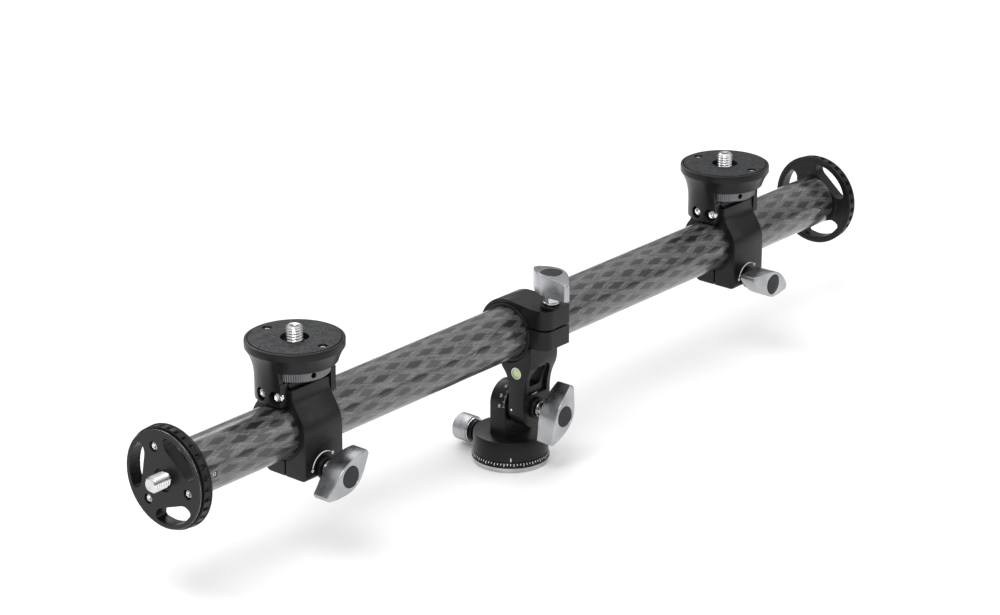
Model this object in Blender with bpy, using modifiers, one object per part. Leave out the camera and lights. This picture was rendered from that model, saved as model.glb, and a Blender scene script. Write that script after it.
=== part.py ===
"""Sliding-clamp lateral arm: a carbon tube carried by a tilting collar on a panning base.

Units are metres, +Z is up. The origin is level with the base's underside, halfway
between the end discs. The tube runs along X, and the wing knobs face -Y.
"""
import math

import bmesh
import bpy
from mathutils import Matrix, Vector

MM = 0.001
GAP = 0.3 * MM                 # clearance between pieces that touch or turn on each other

# Tube
TUBE_RADIUS = 16.0 * MM
TUBE_WALL = 1.5 * MM
TUBE_LENGTH = 588.4 * MM       # between the inner faces of the end discs
TUBE_SHIFT = 9.1 * MM          # how far the tube is slid along +X in its collar
TUBE_FORWARD = 5.9 * MM        # tube axis in front of the base's axis
TUBE_HEIGHT = 86.8 * MM        # tube axis above the base's underside

# Panning base
BASE_RADIUS = 23.6 * MM
RING_HEIGHT = 6.2 * MM
DRUM_RADIUS = 22.8 * MM
DRUM_TOP = 19.2 * MM
SPINDLE_RADIUS = 14.0 * MM
SPINDLE_TOP = 14.0 * MM
THREAD_RADIUS = 4.76 * MM      # 3/8 inch camera thread
BUSH_RADIUS = 7.0 * MM
PAN_SCREW_HEIGHT = 10.8 * MM
PAN_SCREW_RADIUS = 2.5 * MM
PAN_KNOB_RADIUS = 8.4 * MM
PAN_KNOB_LENGTH = 11.6 * MM
PAN_NECK_LENGTH = 5.0 * MM
PAN_SHOE_LENGTH = 3.0 * MM

# Tilt hinge
HINGE_HEIGHT = 38.6 * MM
HINGE_HALF_WIDTH = 12.5 * MM   # half width and end radius of the stand and of the arm
STAND_THICKNESS = 11.7 * MM
FRICTION_THICKNESS = 2.4 * MM
FRICTION_RADIUS = 10.5 * MM
ARM_THICKNESS = 11.3 * MM
BOLT_RADIUS = 3.0 * MM
BOLT_HEAD_RADIUS = 7.0 * MM
BOLT_HEAD_HEIGHT = 3.0 * MM
ARM_NECK_TOP = 13.5 * MM       # straight part of the arm above the hinge axis
ARM_FLARE = 5.6 * MM           # how far the arm widens to the front and rear under the collar
WINDOW_TOP = -TUBE_RADIUS - 5.3 * MM    # from the tube axis
WINDOW_BOTTOM = -34.0 * MM
WINDOW_TOP_WIDTH = 13.0 * MM
WINDOW_BOTTOM_WIDTH = 9.5 * MM
LEVEL_RADIUS = 3.7 * MM
LEVEL_DEPTH = 4.0 * MM
LEVEL_DROP = -TUBE_RADIUS - 8.0 * MM    # from the tube axis

# Collar at the top of the tilt arm
COLLAR_WALL = 2.0 * MM
COLLAR_WIDTH = 22.2 * MM
COLLAR_LINER_WALL = 1.9 * MM
COLLAR_RADIUS = TUBE_RADIUS + COLLAR_LINER_WALL + 2 * GAP + COLLAR_WALL
LINER_LIP = 0.8 * MM           # how far a liner stands out of its collar
EAR_FRONT = -TUBE_RADIUS - 14.1 * MM    # from the tube axis
EAR_TOP = TUBE_RADIUS + 2.7 * MM
EAR_BOTTOM = -5.8 * MM
EAR_CORNER = 7.3 * MM
EAR_BOLT = -TUBE_RADIUS - 9.0 * MM
COLLAR_SLIT = 6.5 * MM         # height of the slit above the tube axis
SLIT_WIDTH = 1.2 * MM

# Sliding clamps
CLAMP_LEFT = -190.7 * MM       # along X, from the base's axis
CLAMP_RIGHT = 203.5 * MM
CLAMP_WIDTH = 30.0 * MM
CLAMP_WALL = 2.9 * MM
CLAMP_LINER_WALL = 1.0 * MM
CLAMP_FOOT = -TUBE_RADIUS - 9.7 * MM    # underside of the lips
CLAMP_BOLT_DROP = -TUBE_RADIUS - 5.4 * MM
CLAMP_BOLT_RADIUS = 2.5 * MM
CLAMP_SLIT = -5.0 * MM
REAR_LIP = 9.0 * MM
BLOCK_FRONT = -9.0 * MM
BLOCK_REAR = 12.6 * MM
SHOULDER_HEIGHT = TUBE_RADIUS + 10.3 * MM
BLOCK_TOP = TUBE_RADIUS + 13.9 * MM

# Pedestal and camera screw, heights from the tube axis
PEDESTAL_RADIUS = 28.0 * MM
PEDESTAL_WALL = 2.6 * MM       # round the thumbwheel
PEDESTAL_TOP = TUBE_RADIUS + 34.6 * MM
PEDESTAL_FOOT = TUBE_RADIUS + 1.0 * MM
PAD_RADIUS = 25.8 * MM
PAD_THICKNESS = 0.9 * MM
PAD_HOLE = 8.0 * MM
PAD_SCREW_OFFSET = 21.0 * MM
PAD_SCREW_RADIUS = 2.4 * MM
PAD_SCREW_LENGTH = 5.0 * MM
WHEEL_RADIUS = 19.5 * MM
PEDESTAL_NECK = WHEEL_RADIUS + PEDESTAL_WALL
WHEEL_BOTTOM = TUBE_RADIUS + 15.0 * MM
WHEEL_THICKNESS = 6.6 * MM
STUD_TOP = TUBE_RADIUS + 41.8 * MM
CROSS_SCREW_HEIGHT = TUBE_RADIUS + 6.5 * MM
CROSS_SCREW_SPACING = 10.6 * MM
CROSS_SCREW_RADIUS = 1.8 * MM
CROSS_HEAD_RADIUS = 3.0 * MM
CROSS_HEAD_HEIGHT = 2.2 * MM
CROSS_SCREW_GRIP = 5.5 * MM      # how far the screws go into the clamp's block

# Wing knobs
WING_REACH = 19.0 * MM
WING_HUB = 8.2 * MM
WING_TIP = 3.0 * MM
WING_DEPTH = 13.0 * MM
WING_SAG = 2.4 * MM            # how much lower the outer face is at the wing tips
WING_NECK_RADIUS = 4.4 * MM
CAP_RADIUS = 6.2 * MM
CAP_THICKNESS = 0.9 * MM
WASHER_RADIUS = 6.6 * MM
WASHER_THICKNESS = 3.0 * MM
TALL_KNOB = 22.0 * MM          # seat to outer face, tilt and collar knobs
SHORT_KNOB = 20.1 * MM         # seat to outer face, clamp knobs

# End discs
DISC_RADIUS = 29.3 * MM
DISC_THICKNESS = 8.2 * MM
DISC_FACE_RADIUS = 28.0 * MM
GRIP_RADIUS = 28.9 * MM
PLUG_LENGTH = 20.0 * MM
END_STUD_LENGTH = 9.5 * MM
SLOT_INNER = 15.6 * MM
SLOT_OUTER = 25.2 * MM
SLOT_HALF_ANGLE = math.radians(35)
DISC_TURN = math.radians(50)   # first slot, from -Y towards +Z
HUB_RECESS_RADIUS = 8.0 * MM
HUB_RECESS_DEPTH = 1.2 * MM
DISC_SCREW_CIRCLE = 18.6 * MM
DISC_SCREW_RADIUS = 2.0 * MM
PLUG_SCREW_INSET = 15.0 * MM
PLUG_SCREW_RADIUS = 1.3 * MM

# Facets round a full circle
FINE = 40
MEDIUM = 24
COARSE = 12

HOLE_TURN = math.radians(7)    # keeps a hole's facets off the facets it is cut through

TURN = math.pi / 2
AIM = {
    "+Z": (0, 0),
    "-Y": (TURN, 0),
    "+Y": (-TURN, 0),
    "+X": (0, TURN),
    "-X": (0, -TURN),
}

FINISHES = {
    "black_anodised": ((0.022, 0.023, 0.025), 0.38, 0.9),
    "carbon_fibre": ((0.20, 0.21, 0.22), 0.35, 0.3),
    "silver_anodised": ((0.62, 0.63, 0.65), 0.32, 1.0),
    "steel": ((0.70, 0.70, 0.70), 0.22, 1.0),
    "cap_grey": ((0.10, 0.105, 0.11), 0.55, 0.2),
    "rubber_pad": ((0.03, 0.03, 0.032), 0.85, 0.0),
    "liner_nylon": ((0.03, 0.03, 0.03), 0.5, 0.0),
    "wheel_grey": ((0.30, 0.31, 0.32), 0.4, 0.9),
    "brass": ((0.65, 0.48, 0.22), 0.35, 1.0),
    "level_fluid": ((0.55, 0.75, 0.25), 0.1, 0.0),
}


def clear_scene():
    for item in list(bpy.data.objects):
        bpy.data.objects.remove(item, do_unlink=True)


def new_collection(name):
    collection = bpy.data.collections.new(name)
    bpy.context.scene.collection.children.link(collection)
    return collection


def material(name):
    found = bpy.data.materials.get(name)
    if found:
        return found
    colour, roughness, metallic = FINISHES[name]
    made = bpy.data.materials.new(name)
    made.use_nodes = True
    shader = made.node_tree.nodes["Principled BSDF"]
    shader.inputs["Base Color"].default_value = (*colour, 1)
    shader.inputs["Roughness"].default_value = roughness
    shader.inputs["Metallic"].default_value = metallic
    return made


def facing(aim):
    around_x, around_y = AIM[aim]
    return Matrix.Rotation(around_x, 4, "X") @ Matrix.Rotation(around_y, 4, "Y")


def place(piece, parent, location=(0, 0, 0), aim="+Z", spin=0.0, within=Matrix()):
    """Stand a piece on its parent empty, its own Z along aim, turned by spin about that Z.

    within is the piece's own place in that turned frame.
    """
    piece.parent = parent
    turn = Matrix.Rotation(spin, 4, "Z")
    piece.matrix_local = Matrix.Translation(location) @ facing(aim) @ turn @ within
    return piece


def empty(name, location, parent=None):
    axis = bpy.data.objects.new(name, None)
    PARTS.objects.link(axis)
    axis.location = location
    axis.parent = parent
    return axis


def finish_mesh(name, mesh, finish):
    """Wrap a mesh as a named piece, or as a hidden cutter when it has no finish."""
    piece = bpy.data.objects.new(name, mesh)
    if finish:
        PARTS.objects.link(piece)
        mesh.materials.append(material(finish))
        mesh.shade_smooth()
        mesh.set_sharp_from_angle(angle=math.radians(35))
    else:
        CUTTERS.objects.link(piece)
        piece.hide_render = True
        piece.display_type = "WIRE"
    return piece


def evaluated_mesh(guide, name):
    """The finished mesh of a guide object, which is then removed."""
    bpy.context.view_layer.update()
    evaluated = guide.evaluated_get(bpy.context.evaluated_depsgraph_get())
    mesh = bpy.data.meshes.new_from_object(evaluated)
    mesh.name = name
    bpy.data.objects.remove(guide)
    mesh.materials.clear()
    return mesh


def turned(name, profile, finish, segments=FINE):
    """Turn a closed profile of (radius, height) pairs about Z, listed down its outer side."""
    mesh = bpy.data.meshes.new(name + "_profile")
    count = len(profile)
    points = [(radius, 0, height) for radius, height in profile]
    on_axis = profile[0][0] == 0 and profile[-1][0] == 0
    edges = [(k, (k + 1) % count) for k in range(count - 1 if on_axis else count)]
    mesh.from_pydata(points, edges, [])
    guide = bpy.data.objects.new(name + "_profile", mesh)
    CUTTERS.objects.link(guide)
    screw = guide.modifiers.new("turn", "SCREW")
    screw.axis = "Z"
    screw.angle = 2 * math.pi
    screw.steps = segments
    screw.render_steps = segments
    screw.use_merge_vertices = True
    screw.merge_threshold = 0.00001
    return finish_mesh(name, evaluated_mesh(guide, name), finish)


def rod(name, radius, bottom, top, finish=None, segments=MEDIUM):
    mesh = bpy.data.meshes.new(name)
    bm = bmesh.new()
    centre = Matrix.Translation((0, 0, (bottom + top) / 2))
    bmesh.ops.create_cone(bm, cap_ends=True, segments=segments, radius1=radius,
                          radius2=radius, depth=top - bottom, matrix=centre)
    bm.to_mesh(mesh)
    bm.free()
    return finish_mesh(name, mesh, finish)


def ring(name, inner, outer, bottom, top, finish, segments=MEDIUM):
    profile = [(inner, top), (outer, top), (outer, bottom), (inner, bottom)]
    return turned(name, profile, finish, segments)


def block(name, low, high, finish=None):
    mesh = bpy.data.meshes.new(name)
    bm = bmesh.new()
    low, high = Vector(low), Vector(high)
    size = Matrix.Diagonal((*(high - low), 1))
    bmesh.ops.create_cube(bm, size=1, matrix=Matrix.Translation((low + high) / 2) @ size)
    bm.to_mesh(mesh)
    bm.free()
    return finish_mesh(name, mesh, finish)


def plate(name, outline, bottom, top, finish=None):
    """A flat outline in XY given thickness between two heights."""
    curve = bpy.data.curves.new(name, "CURVE")
    curve.dimensions = "2D"
    curve.fill_mode = "BOTH"
    curve.extrude = (top - bottom) / 2
    spline = curve.splines.new("POLY")
    spline.points.add(len(outline) - 1)
    for point, (x, y) in zip(spline.points, outline):
        point.co = (x, y, 0, 1)
    spline.use_cyclic_u = True
    guide = bpy.data.objects.new(name + "_outline", curve)
    CUTTERS.objects.link(guide)
    mesh = evaluated_mesh(guide, name)
    bm = bmesh.new()
    bm.from_mesh(mesh)
    bmesh.ops.remove_doubles(bm, verts=bm.verts, dist=0.00001)
    bmesh.ops.translate(bm, verts=bm.verts, vec=(0, 0, (top + bottom) / 2))
    bmesh.ops.recalc_face_normals(bm, faces=bm.faces)
    bm.to_mesh(mesh)
    bm.free()
    return finish_mesh(name, mesh, finish)


def side_plate(name, outline, half_width, finish, parent):
    """A (y, z) outline given width along X."""
    flat = [(-z, y) for y, z in outline]
    return place(plate(name, flat, -half_width, half_width, finish), parent, aim="+X")


def combine(piece, other, operation):
    change = piece.modifiers.new(other.name, "BOOLEAN")
    change.operation = operation
    change.object = other
    change.solver = "EXACT"


def cut(piece, other):
    combine(piece, other, "DIFFERENCE")


def join(piece, other):
    combine(piece, other, "UNION")


def drill(piece, radius, start, end, parent, location=(0, 0, 0), aim="+Z", segments=COARSE):
    """A round hole on the line through location along aim, from start to end."""
    cutter = rod("hole_in_" + piece.name, radius, start, end, segments=segments)
    cut(piece, place(cutter, parent, location, aim, HOLE_TURN))


def arc(radius, start, end, steps, centre=(0, 0)):
    """Points on a circle from one angle to another, both ends included."""
    angles = [start + (end - start) * k / steps for k in range(steps + 1)]
    return [(centre[0] + radius * math.cos(a), centre[1] + radius * math.sin(a)) for a in angles]


# Panning base

def base_ring():
    bore = BUSH_RADIUS + GAP
    flare = RING_HEIGHT - 2.0 * MM
    chamfer = 0.8 * MM
    profile = [
        (bore, SPINDLE_TOP), (SPINDLE_RADIUS, SPINDLE_TOP), (SPINDLE_RADIUS, RING_HEIGHT),
        (DRUM_RADIUS, RING_HEIGHT), (BASE_RADIUS, flare), (BASE_RADIUS, chamfer),
        (BASE_RADIUS - chamfer, 0), (bore, 0),
    ]
    place(turned("base_ring", profile, "black_anodised"), GROUND)
    bush = ring("base_thread_bush", THREAD_RADIUS, BUSH_RADIUS, 0, SPINDLE_TOP, "steel")
    place(bush, GROUND)


def turntable():
    """Drum over the spindle, with the upright stand that carries the tilt hinge."""
    seat = RING_HEIGHT + GAP
    pocket = SPINDLE_TOP + GAP
    rim = DRUM_TOP - 0.6 * MM
    profile = [
        (0, DRUM_TOP), (DRUM_RADIUS - 0.6 * MM, DRUM_TOP), (DRUM_RADIUS, rim), (DRUM_RADIUS, seat),
        (SPINDLE_RADIUS + GAP, seat), (SPINDLE_RADIUS + GAP, pocket), (0, pocket),
    ]
    drum = place(turned("turntable", profile, "black_anodised"), PAN_AXIS)
    half = STAND_THICKNESS / 2
    stand = block("stand", (-HINGE_HALF_WIDTH, -half, pocket + 1.0 * MM),
                  (HINGE_HALF_WIDTH, half, HINGE_HEIGHT))
    join(drum, place(stand, PAN_AXIS))
    crown = rod("stand_crown", HINGE_HALF_WIDTH, -half, half)
    join(drum, place(crown, PAN_AXIS, (0, 0, HINGE_HEIGHT), "-Y"))
    drill(drum, BOLT_RADIUS + GAP, -2 * half, 2 * half, PAN_AXIS, (0, 0, HINGE_HEIGHT), "-Y")
    hole = (0, 0, PAN_SCREW_HEIGHT)
    drill(drum, PAN_SCREW_RADIUS + GAP, SPINDLE_RADIUS / 2, BASE_RADIUS, PAN_AXIS, hole, "+Y")


def pan_lock():
    """Brake shoe, screw and round knob that lock the turntable from behind."""
    shoe_start = SPINDLE_RADIUS + 2 * GAP
    shoe_end = shoe_start + PAN_SHOE_LENGTH
    seat = (0, 0, PAN_SCREW_HEIGHT)
    shoe = rod("pan_brake_shoe", PAN_SCREW_RADIUS, shoe_start, shoe_end, "brass", COARSE)
    place(shoe, PAN_AXIS, seat, "+Y")
    neck = DRUM_RADIUS + 2 * GAP
    knob = neck + PAN_NECK_LENGTH
    end = knob + PAN_KNOB_LENGTH
    screw_end = knob + PAN_KNOB_LENGTH / 2
    screw = rod("pan_lock_screw", PAN_SCREW_RADIUS, shoe_end + GAP, screw_end, "steel", COARSE)
    place(screw, PAN_AXIS, seat, "+Y")
    hole = PAN_SCREW_RADIUS + GAP
    edge = 0.8 * MM
    profile = [
        (0, end), (PAN_KNOB_RADIUS - edge, end), (PAN_KNOB_RADIUS, end - edge),
        (PAN_KNOB_RADIUS, knob + edge), (PAN_KNOB_RADIUS - edge, knob), (WING_NECK_RADIUS, knob),
        (WING_NECK_RADIUS, neck), (hole, neck), (hole, screw_end + GAP), (0, screw_end + GAP),
    ]
    place(turned("pan_lock_knob", profile, "silver_anodised", MEDIUM), PAN_AXIS, seat, "+Y")


# Wing knobs

def wing_outline():
    """Two-winged lozenge, each wing fuller on one side than on the other."""
    tip = WING_TIP / 2
    sweep = ((0.74, 0.55), (0.28, 0.96), (-0.12, 1.0), (-0.43, 0.77), (-0.75, 0.40))
    one = [(WING_REACH, -tip), (WING_REACH, tip)]
    one += [(WING_REACH * along, WING_HUB * across) for along, across in sweep]
    return one + [(-x, -y) for x, y in one]


def wing_knob(prefix, parent, location, aim, spin, height, bolt_radius):
    """Wing, its grey cap and the washer under it, standing on a seat at location."""
    wing_bottom = height - WING_DEPTH
    neck = WASHER_THICKNESS + 2 * GAP
    wing = plate(prefix + "_knob", wing_outline(), wing_bottom, height, "silver_anodised")
    place(wing, parent, location, aim, spin)
    bend = (WING_REACH ** 2 + WING_SAG ** 2) / (2 * WING_SAG)
    crown = rod(prefix + "_crown", bend, -2 * WING_HUB, 2 * WING_HUB, segments=2 * FINE)
    lie = Matrix.Translation((0, 0, height - bend)) @ Matrix.Rotation(TURN, 4, "X")
    place(crown, parent, location, aim, spin, lie)
    combine(wing, crown, "INTERSECT")
    stem = rod(prefix + "_neck", WING_NECK_RADIUS, neck, wing_bottom + 1.0 * MM)
    join(wing, place(stem, parent, location, aim))
    seat = height - CAP_THICKNESS - GAP
    drill(wing, CAP_RADIUS + GAP, seat, height + 1.0 * MM, parent, location, aim, MEDIUM)
    drill(wing, bolt_radius + GAP, neck - 1.0 * MM, bolt_reach(height) + GAP, parent, location, aim)
    cap = rod(prefix + "_knob_cap", CAP_RADIUS, height - CAP_THICKNESS, height, "cap_grey")
    place(cap, parent, location, aim)
    washer = ring(prefix + "_washer", bolt_radius + GAP, WASHER_RADIUS, GAP, GAP + WASHER_THICKNESS,
                  "black_anodised")
    place(washer, parent, location, aim)


def bolt_reach(height):
    """How far a knob's bolt reaches above the knob's seat."""
    return height - 4.0 * MM


def wing_bolt(prefix, parent, location, aim, height, radius, start):
    bolt = rod(prefix + "_bolt", radius, start, bolt_reach(height), "steel", COARSE)
    place(bolt, parent, location, aim)


# Tilt arm

def hinge_bolt():
    """Friction washer, and the bolt whose head sits behind the stand."""
    start = STAND_THICKNESS / 2 + GAP
    washer = ring("hinge_friction_washer", BOLT_RADIUS + GAP, FRICTION_RADIUS, start,
                  start + FRICTION_THICKNESS, "liner_nylon")
    place(washer, HINGE_AXIS, aim="-Y")
    end = TUBE_FORWARD - arm_span()[1] + bolt_reach(TALL_KNOB)
    edge = 0.8 * MM
    profile = [
        (0, end), (BOLT_RADIUS, end), (BOLT_RADIUS, -start), (BOLT_HEAD_RADIUS, -start),
        (BOLT_HEAD_RADIUS, edge - start - BOLT_HEAD_HEIGHT),
        (BOLT_HEAD_RADIUS - edge, -start - BOLT_HEAD_HEIGHT), (0, -start - BOLT_HEAD_HEIGHT),
    ]
    place(turned("tilt_bolt", profile, "steel", MEDIUM), HINGE_AXIS, aim="-Y")


def arm_span():
    """Rear and front faces of the arm's straight part, as y from the tube axis."""
    rear = -(STAND_THICKNESS / 2 + FRICTION_THICKNESS + 2 * GAP) + TUBE_FORWARD
    return rear, rear - ARM_THICKNESS


def tilt_arm():
    """Arm, collar and clamping ears in one piece, built round the tube axis."""
    rear, front = arm_span()
    hinge = HINGE_HEIGHT - TUBE_HEIGHT
    neck = hinge + ARM_NECK_TOP
    web = EAR_BOTTOM - 6.0 * MM
    half = COLLAR_WIDTH / 2
    outline = [
        (front, hinge), (front, neck), (front - 0.25 * ARM_FLARE, neck + 8.0 * MM),
        (front - ARM_FLARE, neck + 15.5 * MM), (front - ARM_FLARE, web), (0, web),
        (rear + ARM_FLARE, -COLLAR_RADIUS), (rear + 0.25 * ARM_FLARE, neck + 8.0 * MM),
        (rear, neck), (rear, hinge),
    ]
    arm = side_plate("tilt_arm", outline, HINGE_HALF_WIDTH, "black_anodised", HINGE_AXIS)
    place(arm, HINGE_AXIS, TUBE_RISE, "+X")
    foot = rod("arm_foot", HINGE_HALF_WIDTH, -rear, -front)
    join(arm, place(foot, TUBE_AXIS, (0, 0, hinge), "-Y"))
    collar = rod("collar", COLLAR_RADIUS, -half, half, segments=FINE)
    join(arm, place(collar, TUBE_AXIS, aim="+X"))
    ears = side_plate("ears", ear_outline(), half, None, TUBE_AXIS)
    corners = arc(EAR_CORNER, math.radians(180), math.radians(270), 5,
                  (-half + EAR_CORNER, EAR_FRONT + EAR_CORNER))
    plan = corners + [(-x, y) for x, y in reversed(corners)] + [(half, 5 * MM), (-half, 5 * MM)]
    column = place(plate("ear_plan", plan, -TUBE_HEIGHT / 2, TUBE_HEIGHT / 2), TUBE_AXIS)
    combine(ears, column, "INTERSECT")
    join(arm, ears)
    bore = TUBE_RADIUS + GAP + COLLAR_LINER_WALL + GAP
    drill(arm, bore, -2 * half, 2 * half, TUBE_AXIS, aim="+X", segments=FINE)
    low = (-2 * half, 1.5 * EAR_FRONT, COLLAR_SLIT - SLIT_WIDTH / 2)
    high = (2 * half, -TUBE_RADIUS / 2, COLLAR_SLIT + SLIT_WIDTH / 2)
    cut(arm, place(block("collar_slit", low, high), TUBE_AXIS))
    top, bottom = WINDOW_TOP_WIDTH / 2, WINDOW_BOTTOM_WIDTH / 2
    gap = [(-bottom, WINDOW_BOTTOM), (bottom, WINDOW_BOTTOM), (top, WINDOW_TOP - 1.6 * MM),
           (top - 2 * MM, WINDOW_TOP), (-top + 2 * MM, WINDOW_TOP), (-top, WINDOW_TOP - 1.6 * MM)]
    cut(arm, place(plate("window", gap, -2 * half, 3 * half), TUBE_AXIS, aim="-Y"))
    drill(arm, BOLT_RADIUS + GAP, 0, 2 * half, TUBE_AXIS, (0, 0, hinge), "-Y")
    drill(arm, BOLT_RADIUS + GAP, EAR_BOTTOM / 2, EAR_TOP + 1 * MM, TUBE_AXIS, (0, EAR_BOLT, 0))
    level = (-HINGE_HALF_WIDTH, (rear + front) / 2, LEVEL_DROP)
    drill(arm, LEVEL_RADIUS + GAP, -LEVEL_DEPTH - GAP, 1 * MM, TUBE_AXIS, level, "-X", MEDIUM)
    vial = rod("bubble_level", LEVEL_RADIUS, -LEVEL_DEPTH, 0, "level_fluid", MEDIUM)
    place(vial, TUBE_AXIS, level, "-X")


def ear_outline():
    """Side view of the clamping ears, their top sloping up to meet the collar."""
    touch = math.radians(96)
    return [
        (EAR_FRONT, EAR_BOTTOM), (EAR_FRONT, EAR_TOP), (EAR_BOLT + WASHER_RADIUS + GAP, EAR_TOP),
        (COLLAR_RADIUS * math.cos(touch), COLLAR_RADIUS * math.sin(touch)), (0, EAR_BOTTOM),
    ]


def collar_liner():
    """Split bush in which the tube slides."""
    inner = TUBE_RADIUS + GAP
    half = COLLAR_WIDTH / 2 + LINER_LIP
    liner = ring("collar_liner", inner, inner + COLLAR_LINER_WALL, -half, half, "liner_nylon", FINE)
    place(liner, TUBE_AXIS, aim="+X")
    low = (-2 * half, -2 * TUBE_RADIUS, COLLAR_SLIT - SLIT_WIDTH / 2)
    high = (2 * half, -TUBE_RADIUS / 2, COLLAR_SLIT + SLIT_WIDTH / 2)
    cut(liner, place(block("liner_slit", low, high), TUBE_AXIS))


# Tube and end discs

def tube():
    half = TUBE_LENGTH / 2 - GAP
    pipe = ring("carbon_tube", TUBE_RADIUS - TUBE_WALL, TUBE_RADIUS, -half, half, "carbon_fibre", FINE)
    place(pipe, TUBE_AXIS, (TUBE_SHIFT, 0, 0), "+X")
    for side, direction in (("left", -1), ("right", 1)):
        inset = direction * (TUBE_LENGTH / 2 - PLUG_SCREW_INSET)
        spot = (TUBE_SHIFT + inset, 0, 0)
        drill(pipe, PLUG_SCREW_RADIUS + GAP, TUBE_RADIUS / 2, 2 * TUBE_RADIUS, TUBE_AXIS, spot, "-Y")
        plug_screw = rod("plug_screw_" + side, PLUG_SCREW_RADIUS, TUBE_RADIUS - 6.0 * MM,
                         TUBE_RADIUS - GAP, "steel", COARSE)
        place(plug_screw, TUBE_AXIS, spot, "-Y")


def disc_slot(name, angle):
    """Kidney slot with round-cornered ends, through an end disc."""
    spread = SLOT_HALF_ANGLE
    ease = math.radians(8)
    outline = arc(SLOT_OUTER, angle - spread + ease, angle + spread - ease, 8)
    outline += arc(SLOT_INNER, angle + spread - ease, angle - spread + ease, 6)
    middle = (SLOT_INNER + SLOT_OUTER) / 2
    outline.insert(9, (middle * math.cos(angle + spread), middle * math.sin(angle + spread)))
    outline.append((middle * math.cos(angle - spread), middle * math.sin(angle - spread)))
    return plate(name, outline, -DISC_THICKNESS, 2 * DISC_THICKNESS)


def end_disc(side, aim):
    """Grip-edged disc plugged into the tube; its height 0 is the inner face, +Z is outwards."""
    direction = -1 if side == "left" else 1
    centre = (TUBE_SHIFT + direction * TUBE_LENGTH / 2, 0, 0)
    plug = TUBE_RADIUS - TUBE_WALL - GAP
    bore = THREAD_RADIUS + GAP
    face = DISC_THICKNESS
    recess = face - HUB_RECESS_DEPTH
    profile = [
        (bore, recess), (HUB_RECESS_RADIUS, recess), (HUB_RECESS_RADIUS, face),
        (DISC_FACE_RADIUS - 0.5 * MM, face), (DISC_FACE_RADIUS, face - 0.5 * MM),
        (DISC_FACE_RADIUS, face - 1.6 * MM), (DISC_FACE_RADIUS - 1 * MM, face - 2.2 * MM),
        (GRIP_RADIUS, face - 3.0 * MM), (GRIP_RADIUS, 1.2 * MM), (DISC_RADIUS, 0.9 * MM),
        (DISC_RADIUS, 0), (plug, 0), (plug, -PLUG_LENGTH), (bore, -PLUG_LENGTH),
    ]
    disc = place(turned("end_disc_" + side, profile, "black_anodised"), TUBE_AXIS, centre, aim)
    spin = -direction * DISC_TURN - TURN
    third = 2 * math.pi / 3
    for k in range(3):
        slot = disc_slot(f"disc_slot_{side}_{k + 1}", spin + k * third)
        cut(disc, place(slot, TUBE_AXIS, centre, aim))
    for k in range(3):
        angle = spin + (k + 0.5) * third
        seat = Vector((DISC_SCREW_CIRCLE * math.cos(angle), DISC_SCREW_CIRCLE * math.sin(angle), 0))
        spot = Vector(centre) + facing(aim) @ seat
        drill(disc, DISC_SCREW_RADIUS + GAP, -1 * MM, face + 1 * MM, TUBE_AXIS, spot, aim)
        screw = rod(f"disc_set_screw_{side}_{k + 1}", DISC_SCREW_RADIUS, 0.4 * MM, face - 1.2 * MM,
                    "steel", COARSE)
        place(screw, TUBE_AXIS, spot, aim)
    stud = rod("end_stud_" + side, THREAD_RADIUS, -PLUG_LENGTH, face + END_STUD_LENGTH, "steel")
    place(stud, TUBE_AXIS, centre, aim)
    hole = (TUBE_SHIFT + direction * (TUBE_LENGTH / 2 - PLUG_SCREW_INSET), 0, 0)
    drill(disc, PLUG_SCREW_RADIUS + GAP, TUBE_RADIUS - 6.0 * MM - GAP, TUBE_RADIUS, TUBE_AXIS, hole, "-Y")


# Sliding clamps

def clamp_outline():
    """Side view of a clamp: block on top, front strap, lips below and a round rear leg."""
    radius = TUBE_RADIUS + CLAMP_LINER_WALL + 2 * GAP + CLAMP_WALL
    strap = [
        (9.0 * MM - radius, SHOULDER_HEIGHT), (8.7 * MM - radius, radius + 1.0 * MM),
        (7.5 * MM - radius, radius - 2.3 * MM), (5.3 * MM - radius, radius - 5.3 * MM),
        (2.5 * MM - radius, radius - 9.3 * MM), (0.6 * MM - radius, radius - 14.5 * MM), (-radius, 0),
    ]
    leg = arc(radius, math.radians(-50), math.radians(42), 8)
    return strap + [
        (-radius, CLAMP_FOOT), (REAR_LIP, CLAMP_FOOT), *leg, (BLOCK_REAR, radius - 0.5 * MM),
        (BLOCK_REAR, BLOCK_TOP), (BLOCK_FRONT, BLOCK_TOP), (BLOCK_FRONT, SHOULDER_HEIGHT),
    ]


def clamp_body(side, axis):
    half = CLAMP_WIDTH / 2
    body = side_plate("clamp_body_" + side, clamp_outline(), half, "black_anodised", axis)
    bore = TUBE_RADIUS + CLAMP_LINER_WALL + 2 * GAP
    drill(body, bore, -2 * half, 2 * half, axis, aim="+X", segments=FINE)
    low = (-2 * half, CLAMP_SLIT - SLIT_WIDTH / 2, 2 * CLAMP_FOOT)
    high = (2 * half, CLAMP_SLIT + SLIT_WIDTH / 2, -TUBE_RADIUS / 2)
    cut(body, place(block("clamp_slit_" + side, low, high), axis))
    hole = CLAMP_BOLT_RADIUS + GAP
    drill(body, hole, -REAR_LIP + 2 * MM - GAP, 2 * half, axis, (0, 0, CLAMP_BOLT_DROP), "-Y")
    liner_inner = TUBE_RADIUS + GAP
    liner = ring("clamp_liner_" + side, liner_inner, liner_inner + CLAMP_LINER_WALL, -half, half,
                 "liner_nylon", FINE)
    place(liner, axis, aim="+X")
    low = (-2 * half, CLAMP_SLIT - SLIT_WIDTH / 2, -2 * TUBE_RADIUS)
    cut(liner, place(block("clamp_liner_slit_" + side, low, high), axis))
    return body


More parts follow.
